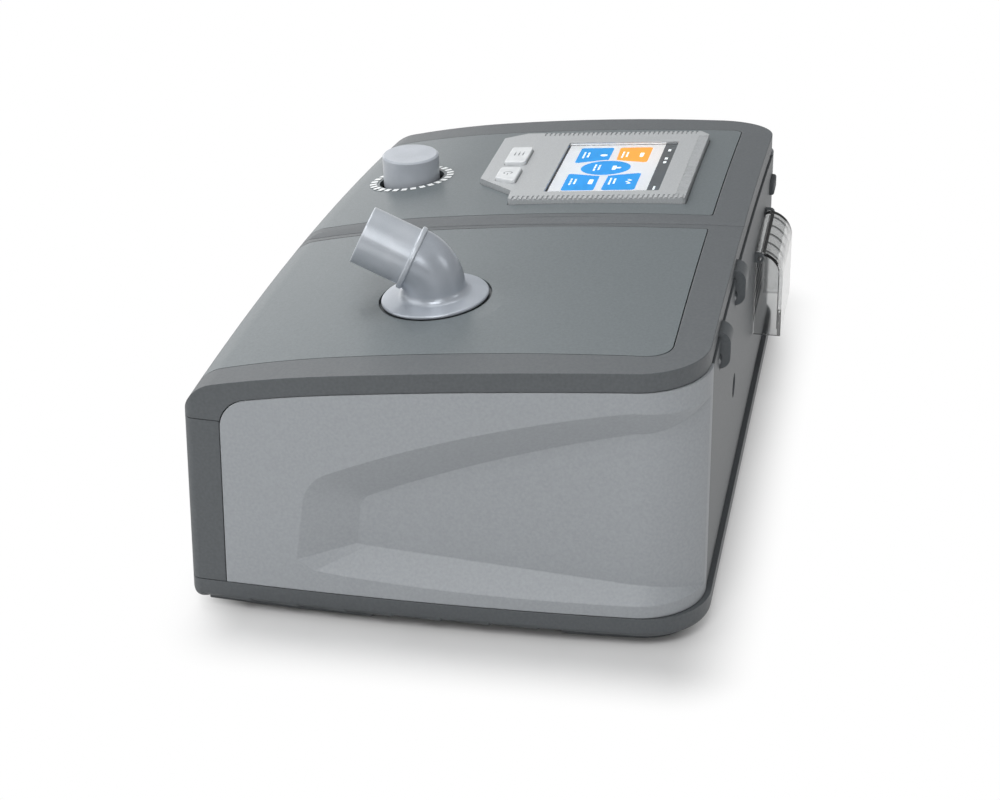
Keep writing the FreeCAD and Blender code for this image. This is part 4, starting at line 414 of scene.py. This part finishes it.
def filter_fleece():
    # Pleated non-woven filter fleece: white, felted, soft.
    made, tree, shader, place = new_material("polyester_filter_fleece", Roughness=0.95,
                                             Sheen_Weight=0.3)
    tree.links.new(mottle(tree, place, 0.9, "#d5d5d0", "#ebebe8", detail=6.0),
                   shader.inputs["Base Color"])
    fibres = add(tree, "ShaderNodeTexNoise", {"Vector": place, "Scale": per_mm(0.35),
                                              "Detail": 8.0})
    tree.links.new(relief(tree, fibres.outputs["Fac"], 0.08), shader.inputs["Normal"])
    return made


FINISH = {
    "shell_plastic": slate_abs(),
    "inlay_plastic": slate_overlay(),
    "panel_plastic": pale_abs(),
    "silver_plastic": satin_silver("satin_silver_ABS", "#9fa4ab", "#a7acb3"),
    "bezel_silver": bezel_silver(),
    "key_plastic": key_white(),
    "pane_clear": pane_acrylic(),
    "smoke_clear": smoked_acrylic("smoked_clear_polycarbonate", "#d4d5d5", "#dcdddd"),
    "screen_panel": lcd_frame(),
    "board_green": solder_mask(),
    "component_black": moulded_black(),
    "steel": ground_steel(),
    "screw_steel": zinc_steel(),
    "plate_aluminium": brushed_aluminium(),
    "insulator_board": pressed_fibre(),
    # the water bay is moulded white, a satin that shows the tub's edges
    "bay_plastic": plain_plastic("plain_white_ABS", "#c9cbcc", "#d2d4d5", 0.42),
    "tub_clear": clear_tub(),
    "silicone": silicone(),
    "dark_rubber": black_rubber(),
    # blower and silencer cases: charcoal, dull; the wheel: ivory nylon, waxy
    "case_plastic": plain_plastic("plain_dark_ABS", "#2c2f31", "#34383a", 0.5),
    "fan_plastic": plain_plastic("plain_ivory_nylon", "#d8d8d2", "#e0e0da", 0.4),
    "motor_metal": brushed_aluminium(),
    "winding_copper": copper_winding(),
    "foam": open_foam(),
    "filter_fabric": filter_fleece(),
}


# ---------------------------------------------------------------- pieces ----
def mesh_piece(name, mesh, body, finish=None):
    """A finished object at the origin that rides on a body."""
    made = bpy.data.objects.new(name, mesh)
    bpy.context.scene.collection.objects.link(made)
    if finish is not None:
        mesh.materials.clear()
        mesh.materials.append(finish)
    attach(made, body)
    return made


def smooth_shell(node, sharp):
    """A CAD solid's copy with merged points, smooth curves and crisp corners."""
    part = frame["nodes"][node]
    bm = bmesh.new()
    bm.from_mesh(part.data)
    bmesh.ops.remove_doubles(bm, verts=bm.verts, dist=WELD)
    bmesh.ops.dissolve_degenerate(bm, dist=WELD / 2, edges=bm.edges)
    for edge in bm.edges:
        two = len(edge.link_faces) == 2
        edge.smooth = two and edge.calc_face_angle() < math.radians(sharp)
    for face in bm.faces:
        face.smooth = True
        face.material_index = 0
    mesh = bpy.data.meshes.new(node + "_skin")
    bm.to_mesh(mesh)
    bm.free()
    holder = bpy.data.objects.new("holder", mesh)
    bpy.context.scene.collection.objects.link(holder)
    weigh = holder.modifiers.new("weigh", "WEIGHTED_NORMAL")
    weigh.keep_sharp = True
    bpy.context.view_layer.update()
    graph = bpy.context.evaluated_depsgraph_get()
    done = bpy.data.meshes.new_from_object(holder.evaluated_get(graph))
    bpy.data.objects.remove(holder)
    slot_name = SLOT_OF[node]
    piece = mesh_piece(node + "_skin", done, body_of(part)[0], FINISH[slot_name])
    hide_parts(node)
    return piece


SLOT_OF = {row["node"]: row["material_slot"] for row in frame["record"]["subparts"]}
WELD = 2e-6                # points closer than this, in metres, are one
CORNER = 30.0              # edges that bend more than this stay crisp
# the end panels' recess has shallow crisp edges, the base's lower edge one long soft roll
OWN_CORNER = {"right_end_panel": 8.0, "left_end_panel": 8.0, "base_tray": 65.0}
SKIN = {node_name: smooth_shell(node_name, OWN_CORNER.get(node_name, CORNER))
        for node_name in SLOT_OF}


def repaint(node, finish, chosen):
    """Second finish on the faces picked by chosen(centre in millimetres, normal)."""
    mesh = SKIN[node].data
    mesh.materials.append(finish)
    for face in mesh.polygons:
        if chosen(face.center / MM, face.normal):
            face.material_index = len(mesh.materials) - 1


def whole(centre, normal):
    """Every face."""
    return True


def painted_shade_faces(centre, normal):
    """Faces that look at the table, within 10 degrees; they carry the painted shade under the
    base.
    """
    return normal.z < -0.985


# port cap: soft elastomer, slate and dull like the wall it closes
repaint("port_cap", plain_plastic("slate_elastomer", "#474b4e", "#4f5356", 0.6), whole)
# the cuff and the elbow: the knob's satin silver ABS with some metal, painted paler as highlight,
# the cuff more than the elbow
repaint("outlet_cuff", satin_silver("satin_silver_ABS_painted_highlight", "#b2b8bf", "#babfc6", 0.25), whole)
repaint("elbow_body", satin_silver("satin_silver_ABS_faint_painted_highlight", "#a2a8b0", "#aab0b8", 0.3), whole)
# underside: painted shade, the faces that look at the table coloured near black for the shadow
# under the base, dull
repaint("base_tray", plain_plastic("painted_shade_black_ABS", "#17191a", "#1f2122", 0.6), painted_shade_faces)


# ------------------------------------------------------ printed tick ring ----
def tick_ring():
    """White dashes printed on the overlay round the knob."""
    tree = bpy.data.node_groups.new("tick_ring", "GeometryNodeTree")
    face = tree.interface
    for label, kind in (("Count", "NodeSocketInt"), ("Middle Radius", "NodeSocketFloat"),
                        ("Dash Length", "NodeSocketFloat"), ("Dash Width", "NodeSocketFloat"),
                        ("Ink", "NodeSocketMaterial")):
        face.new_socket(label, in_out="INPUT", socket_type=kind)
    face.new_socket("Geometry", in_out="OUTPUT", socket_type="NodeSocketGeometry")
    given = add(tree, "NodeGroupInput").outputs
    circle = add(tree, "GeometryNodeMeshCircle", {"Vertices": given["Count"],
                                                  "Radius": given["Middle Radius"]})
    dash = add(tree, "GeometryNodeMeshGrid", {"Size X": given["Dash Length"],
                                              "Size Y": given["Dash Width"],
                                              "Vertices X": 4, "Vertices Y": 2})
    where = add(tree, "GeometryNodeInputPosition")
    turn = add(tree, "FunctionNodeAlignEulerToVector", {"Vector": where.outputs[0]}, axis="X")
    spread_out = add(tree, "GeometryNodeInstanceOnPoints", {
        "Points": circle.outputs["Mesh"], "Instance": dash.outputs["Mesh"],
        "Rotation": turn.outputs["Rotation"]})
    real = add(tree, "GeometryNodeRealizeInstances", {
        "Geometry": spread_out.outputs["Instances"]})
    inked = add(tree, "GeometryNodeSetMaterial", {"Geometry": real.outputs[0],
                                                  "Material": given["Ink"]})
    add(tree, "NodeGroupOutput", {"Geometry": inked.outputs["Geometry"]})
    return tree


def printing_ink():
    # Pad-printed white ink: opaque, matt, a little uneven at its edges.
    made, tree, shader, place = new_material("white_pad_print", Roughness=0.6)
    tree.links.new(mottle(tree, place, 0.8, "#d4d8d9", "#eceeef"), shader.inputs["Base Color"])
    return made


def from_nodes(tree, values):
    """Plain mesh made by a node tree with the named inputs."""
    holder = bpy.data.objects.new("holder", bpy.data.meshes.new("holder"))
    bpy.context.scene.collection.objects.link(holder)
    modifier = holder.modifiers.new("made", "NODES")
    modifier.node_group = tree
    for item in tree.interface.items_tree:
        if item.in_out == "INPUT" and item.name in values:
            modifier[item.identifier] = values[item.name]
    bpy.context.view_layer.update()
    graph = bpy.context.evaluated_depsgraph_get()
    mesh = bpy.data.meshes.new_from_object(holder.evaluated_get(graph))
    holder.modifiers.remove(modifier)
    bpy.data.objects.remove(holder)
    return mesh


def knob_ticks():
    """Printed ring, each point lowered onto the crowned overlay."""
    ink = printing_ink()
    mesh = from_nodes(tick_ring(), {"Count": TICKS, "Middle Radius": TICK_RING_R,
                                    "Dash Length": TICK_SIZE[0], "Dash Width": TICK_SIZE[1],
                                    "Ink": ink})
    for point in mesh.vertices:
        at = (KNOB_AT[0] + point.co.x, KNOB_AT[1] + point.co.y)
        point.co = crown_point(*at, 2 * PRINT_LIFT)
    mesh_piece("knob_tick_print", mesh, "housing", ink)


knob_ticks()


# --------------------------------------------------------- screen picture ----
def screen_ink(name, code, glow):
    # Lit pixels behind the pane: the colour itself glows a little.
    made, tree, shader, place = new_material(name, Roughness=0.5, IOR=1.3)
    cells = add(tree, "ShaderNodeTexBrick", {
        "Vector": place, "Color1": rgb(code), "Color2": rgb(code), "Mortar": rgb(code),
        "Scale": per_mm(0.6), "Mortar Size": 0.04}, offset=0.0)
    tree.links.new(cells.outputs["Color"], shader.inputs["Base Color"])
    tree.links.new(cells.outputs["Color"], shader.inputs["Emission Color"])
    shader.inputs["Emission Strength"].default_value = glow
    return made


def outline_rect(x0, x1, y0, y1, r, steps=5):
    """Rounded rectangle as a list of points."""
    points = []
    for cx, cy, start in ((x1 - r, y1 - r, 0), (x0 + r, y1 - r, 90),
                          (x0 + r, y0 + r, 180), (x1 - r, y0 + r, 270)):
        for i in range(steps + 1):
            a = math.radians(start + 90 * i / steps)
            points.append((cx + r * math.cos(a), cy + r * math.sin(a)))
    return points


def outline_disc(cx, cy, r, steps=40):
    """Circle as a list of points."""
    return [(cx + r * math.cos(2 * math.pi * i / steps),
             cy + r * math.sin(2 * math.pi * i / steps)) for i in range(steps)]


def picture(name, shapes, place, height, body, finish):
    """Flat shapes, given as outlines in plate millimetres, at a height."""
    bm = bmesh.new()
    for points in shapes:
        corners = [bm.verts.new(place @ Vector((x, y, height))) for x, y in points]
        face = bm.faces.new(corners)
        face.normal_update()
    bmesh.ops.triangulate(bm, faces=bm.faces)
    up = place.to_3x3() @ Vector((0, 0, 1))
    for face in bm.faces:
        if face.normal.dot(up) < 0:
            face.normal_flip()
    mesh = bpy.data.meshes.new(name)
    bm.to_mesh(mesh)
    bm.free()
    return mesh_piece(name, mesh, body, finish)


def tile(x0, x1, y0, y1):
    """Menu tile with one corner cut back round the middle disc."""
    keep = []
    for x, y in outline_rect(x0, x1, y0, y1, 1.4, 6):
        dx, dy = x - MENU_DISC_AT[0], y - MENU_DISC_AT[1]
        far = math.hypot(dx, dy)
        if far < TILE_CLEARANCE_R:
            x = MENU_DISC_AT[0] + dx * TILE_CLEARANCE_R / far
            y = MENU_DISC_AT[1] + dy * TILE_CLEARANCE_R / far
        keep.append((x, y))
    return keep


def bar(x0, x1, y0, y1):
    """Small rectangle."""
    return [(x0, y0), (x1, y0), (x1, y1), (x0, y1)]


def ribbon(points, width):
    """Strip of even width along points, as separate quads."""
    strips = []
    for (ax, ay), (bx, by) in zip(points, points[1:]):
        dx, dy = bx - ax, by - ay
        far = math.hypot(dx, dy)
        nx, ny = -dy / far * width / 2, dx / far * width / 2
        strips.append([(ax + nx, ay + ny), (bx + nx, by + ny),
                       (bx - nx, by - ny), (ax - nx, ay - ny)])
    return strips


def screen():
    """Menu picture: four tiles and a disc on white, dark status bar at the back."""
    place = slope_matrix(*PLATE_AT)
    x0, x1 = WINDOW_X
    y0, y1 = WINDOW_Y
    level = PANE_LOW + 0.1
    step = 0.012               # each layer of the picture lies this far over the last
    white = screen_ink("lit_white", "#dcdbdb", 0.75)
    blue = screen_ink("lit_blue", "#0092da", 0.73)
    amber = screen_ink("lit_amber", "#f9a132", 0.8)
    grey = screen_ink("lit_dark_grey", "#5a5e61", 0.4)
    pale = screen_ink("lit_pale_icons", "#f6fafc", 0.9)
    tiles = [tile(-27.5, -5.6, -8.7, 5.0), tile(10.1, 33.6, -8.7, 4.6),
             tile(10.1, 33.6, 7.5, 21.0), outline_disc(*MENU_DISC_AT, MENU_DISC_R)]
    icons = []
    # two rows of word-like bars on the user side of each tile, one plain sign behind them
    rows = ((-4.9, ((-5.0, -2.7), (-2.2, 0.4), (0.9, 4.0))), (-3.1, ((-4.2, -1.6), (-1.1, 2.8))))
    for cx, cy in ((-16.5, -1.8), (21.8, -1.8), (21.8, 14.2), (-16.5, 14.4), MENU_DISC_AT):
        for low, words in rows:
            icons += [bar(cx + start, cx + end, cy + low, cy + low + 0.75) for start, end in words]
    icons += [outline_disc(-16.5, 2.0, 1.5, 16), outline_rect(18.5, 25.0, 1.0, 2.8, 0.5, 3)]
    icons += ribbon([(18.5, 16.6), (20.0, 18.2), (22.0, 16.2), (24.0, 18.2), (25.2, 16.8)], 0.7)
    icons += [outline_rect(-19.5, -13.5, 17.0, 18.6, 0.5, 3)]
    icons += [outline_rect(-1.0, 5.0, 8.0, 9.6, 0.6, 3), outline_disc(2.0, 10.6, 1.1, 14)]
    # time and battery signs on the bar
    icons += [bar(29.0, 34.0, 28.2, 29.0), bar(-12.0, -9.0, 28.0, 29.2),
              bar(-6.5, -3.5, 28.0, 29.2), bar(-24.0, -21.0, 28.0, 29.2)]
    # painted shade round the picture: black strips that stand for the inset shadow at the window's
    # edges, wider on the user side and the near side
    edge = [bar(x0, x1, y0, y0 + 0.7), bar(x0, x1, y1 - 0.4, y1),
            bar(x0, x0 + 0.5, y0 + 0.7, y1 - 0.4), bar(x1 - 0.7, x1, y0 + 0.7, y1 - 0.4)]
    for name, shapes, layer, ink, slot in (
            ("screen_field", [bar(x0, x1, y0, y1)], 0, white, "screen_panel"),
            ("screen_tiles", tiles, 1, blue, "screen_panel"),
            ("screen_alarm_tile", [tile(-27.5, -5.6, 7.6, 21.2)], 1, amber, "screen_panel"),
            ("screen_status_bar", [bar(x0, x1, STATUS_BAR_Y, y1)], 1, grey, "screen_panel"),
            ("screen_icons", icons, 2, pale, "screen_panel"),
            # the black strips at the window's edges are painted shade
            ("screen_edge_painted_shade", edge, 3, moulded_black(), "component_black")):
        picture(name, shapes, place, level + layer * step, "housing", ink)


screen()


def key_signs():
    """Grey signs on the two keys: a power ring and a list."""
    place = slope_matrix(*PLATE_AT)
    ink = plain_plastic("grey_key_print", "#6d7275", "#7d8285", 0.6)
    level = KEY_TOP + PRINT_LIFT
    x, y = POWER_KEY_AT
    ring_r = 1.7
    ring = [(x + ring_r * math.cos(math.radians(a)), y + ring_r * math.sin(math.radians(a)))
            for a in range(40, 321, 20)]
    power = ribbon(ring, 0.45) + [bar(x + 0.5, x + 2.7, y - 0.22, y + 0.22)]
    picture("power_sign", power, place, level, "power_key", ink)
    x, y = MENU_KEY_AT
    rows = []
    for up in (-1.9, -0.2, 1.5):
        rows += [bar(x - 1.2, x + 2.6, y + up, y + up + 0.5),
                 bar(x - 2.6, x - 1.9, y + up, y + up + 0.5)]
    picture("menu_sign", rows, place, level, "menu_key", ink)


key_signs()


# ------------------------------------------------------------ intake hood ----
HOOD_X = (-87.0, -44.0)    # both ends of the hood
HOOD_INNER_Y = 99.55       # the ridges start just inside the hood's outer wall
HOOD_LOW_Z = 39.5          # lower end of the ridges
HOOD_BEND = (90.5, 64.2)   # centre of the hood's curve, y and z
RIDGES = 5
RIDGE_HALF = 0.25          # half width
RIDGE_DEEP = 0.6


def hood_ridges():
    """Shallow stiffening ridges moulded inside the clear hood, along its curve."""
    # the ridges' smoke is tinted darker than the hood's: painted shade for the dark lines they
    # show
    ridge_smoke_shade = smoked_acrylic("smoked_polycarbonate_painted_shade", "#77797a", "#808283")
    radius = HOOD_INNER_Y - HOOD_BEND[0]
    path = [((HOOD_INNER_Y, HOOD_LOW_Z), (-1.0, 0.0))]
    for angle in range(0, 79, 6):
        out = (math.cos(math.radians(angle)), math.sin(math.radians(angle)))
        path.append(((HOOD_BEND[0] + radius * out[0], HOOD_BEND[1] + radius * out[1]),
                     (-out[0], -out[1])))
    bm = bmesh.new()
    for i in range(RIDGES):
        middle = HOOD_X[0] + (HOOD_X[1] - HOOD_X[0]) * (i + 0.5) / RIDGES
        rings = []
        for (y, z), inward in path:
            ring = []
            for side, deep in ((-RIDGE_HALF, 0.0), (RIDGE_HALF, 0.0),
                               (RIDGE_HALF, RIDGE_DEEP), (-RIDGE_HALF, RIDGE_DEEP)):
                at = Vector((middle + side, y + inward[0] * deep - ORIGIN_Y, z + inward[1] * deep))
                ring.append(bm.verts.new(at * MM))
            rings.append(ring)
        for low, high in zip(rings, rings[1:]):
            for k in range(4):
                bm.faces.new((low[k], low[(k + 1) % 4], high[(k + 1) % 4], high[k]))
        bm.faces.new(rings[0])
        bm.faces.new(list(reversed(rings[-1])))
    bmesh.ops.recalc_face_normals(bm, faces=bm.faces)
    mesh = bpy.data.meshes.new("hood_ridges")
    bm.to_mesh(mesh)
    bm.free()
    mesh_piece("hood_ridges", mesh, "hood", ridge_smoke_shade)


hood_ridges()


# ------------------------------------------------------ floor, light, view ----
SHADE_HALF = (0.153, 0.078, 0.0)   # metres: half sides of the floor that keeps its shade
SHADE_FADE = (-0.002, 0.034)       # the floor turns white between these distances outside it
WORLD_LEVEL = 0.25                 # light of the air; the camera sees it as white
# name, place in metres, side and watts of the soft boxes
SOFT_BOXES = (
    ("overhead_box", (-0.45, -0.45, 1.42), 1.1, 15.2),
    ("user_side_box", (0.5, -1.4, 0.9), 1.4, 10.5),
    ("humidifier_side_box", (1.1, -0.05, 1.5), 0.8, 13.0),
    ("far_sheen_box", (-1.5, -0.95, 0.5), 1.1, 6.0),
    ("back_fill_box", (0.1, 1.5, 0.9), 0.5, 1.9),
    ("eye_level_box", (1.5, 0.45, 0.85), 0.5, 3.3),
)
CAMERA_AT = (1060.8, 177.0, 572.3)
CAMERA_YAW = 9.84          # turned this far round from straight along the machine
CAMERA_DOWN = 27.09
CAMERA_LENS = 108.33


def studio_floor():
    """Pale floor that fades to the white of the background away from the object."""
    made, tree, shader, place = new_material("matt_studio_floor", Roughness=0.9,
                                             Specular_IOR_Level=0.1)
    paper = mottle(tree, place, 60.0, "#d4d4d4", "#d9d9d9")
    tree.links.new(paper, shader.inputs["Base Color"])
    out = tree.nodes["Material Output"]
    outside = add(tree, "ShaderNodeVectorMath", {0: place}, operation="ABSOLUTE").outputs[0]
    outside = add(tree, "ShaderNodeVectorMath", {0: outside, 1: SHADE_HALF},
                  operation="SUBTRACT").outputs[0]
    outside = add(tree, "ShaderNodeVectorMath", {0: outside, 1: (0.0, 0.0, 0.0)},
                  operation="MAXIMUM").outputs[0]
    far = add(tree, "ShaderNodeVectorMath", {0: outside}, operation="LENGTH").outputs["Value"]
    fade = add(tree, "ShaderNodeMapRange", {"Value": far, "From Min": SHADE_FADE[0],
                                            "From Max": SHADE_FADE[1]},
               interpolation_type="SMOOTHSTEP").outputs["Result"]
    seen = add(tree, "ShaderNodeLightPath").outputs
    rays = add(tree, "ShaderNodeMath", {0: seen["Is Camera Ray"],
                                        1: seen["Is Glossy Ray"]}, operation="MAXIMUM")
    rays = add(tree, "ShaderNodeMath", {0: rays.outputs[0],
                                        1: seen["Is Transmission Ray"]}, operation="MAXIMUM")
    part = add(tree, "ShaderNodeMath", {0: fade, 1: rays.outputs[0]}, operation="MULTIPLY")
    white = add(tree, "ShaderNodeEmission", {"Color": (1, 1, 1, 1), "Strength": 1.0})
    both = add(tree, "ShaderNodeMixShader", {0: part.outputs[0], 1: shader.outputs[0],
                                             2: white.outputs[0]})
    tree.links.new(both.outputs[0], out.inputs["Surface"])
    bm = bmesh.new()
    bmesh.ops.create_grid(bm, x_segments=2, y_segments=2, size=6.0)
    mesh = bpy.data.meshes.new("studio_floor")
    bm.to_mesh(mesh)
    bm.free()
    mesh.materials.append(made)
    floor = bpy.data.objects.new("studio_floor", mesh)
    bpy.context.scene.collection.objects.link(floor)


def softbox(name, at, size, watts, target=(0.0, 0.0, 0.05)):
    """Square soft light aimed at a point."""
    data = bpy.data.lights.new(name, "AREA")
    data.size = size
    data.energy = watts
    lamp = bpy.data.objects.new(name, data)
    lamp.location = at
    lamp.rotation_euler = (Vector(target) - Vector(at)).to_track_quat("-Z", "Y").to_euler()
    bpy.context.scene.collection.objects.link(lamp)


def studio():
    """Floor, soft boxes and the air's even light."""
    studio_floor()
    for box in SOFT_BOXES:
        softbox(*box)
    world = bpy.data.worlds.new("studio_air")
    world.use_nodes = True
    tree = world.node_tree
    seen = add(tree, "ShaderNodeLightPath").outputs
    level = add(tree, "ShaderNodeMapRange", {"Value": seen["Is Camera Ray"],
                                             "To Min": WORLD_LEVEL, "To Max": 1.0})
    back = tree.nodes["Background"]
    back.inputs["Color"].default_value = (1, 1, 1, 1)
    tree.links.new(level.outputs["Result"], back.inputs["Strength"])
    bpy.context.scene.world = world
    bpy.context.scene.view_settings.view_transform = "Standard"


def camera():
    """Camera over the humidifier end, turned and tipped down by the named angles."""
    data = bpy.data.cameras.new("studio_camera")
    data.sensor_width = 36.0
    data.lens = CAMERA_LENS
    data.clip_start = 0.05
    eye = bpy.data.objects.new("studio_camera", data)
    yaw, pitch = math.radians(CAMERA_YAW), math.radians(CAMERA_DOWN)
    ahead = Vector((-math.cos(yaw) * math.cos(pitch), -math.sin(yaw) * math.cos(pitch),
                    -math.sin(pitch)))
    eye.location = (Vector(CAMERA_AT) - Vector((0.0, ORIGIN_Y, 0.0))) * MM
    eye.rotation_euler = ahead.to_track_quat("-Z", "Y").to_euler()
    bpy.context.scene.collection.objects.link(eye)
    bpy.context.scene.camera = eye


studio()
camera()
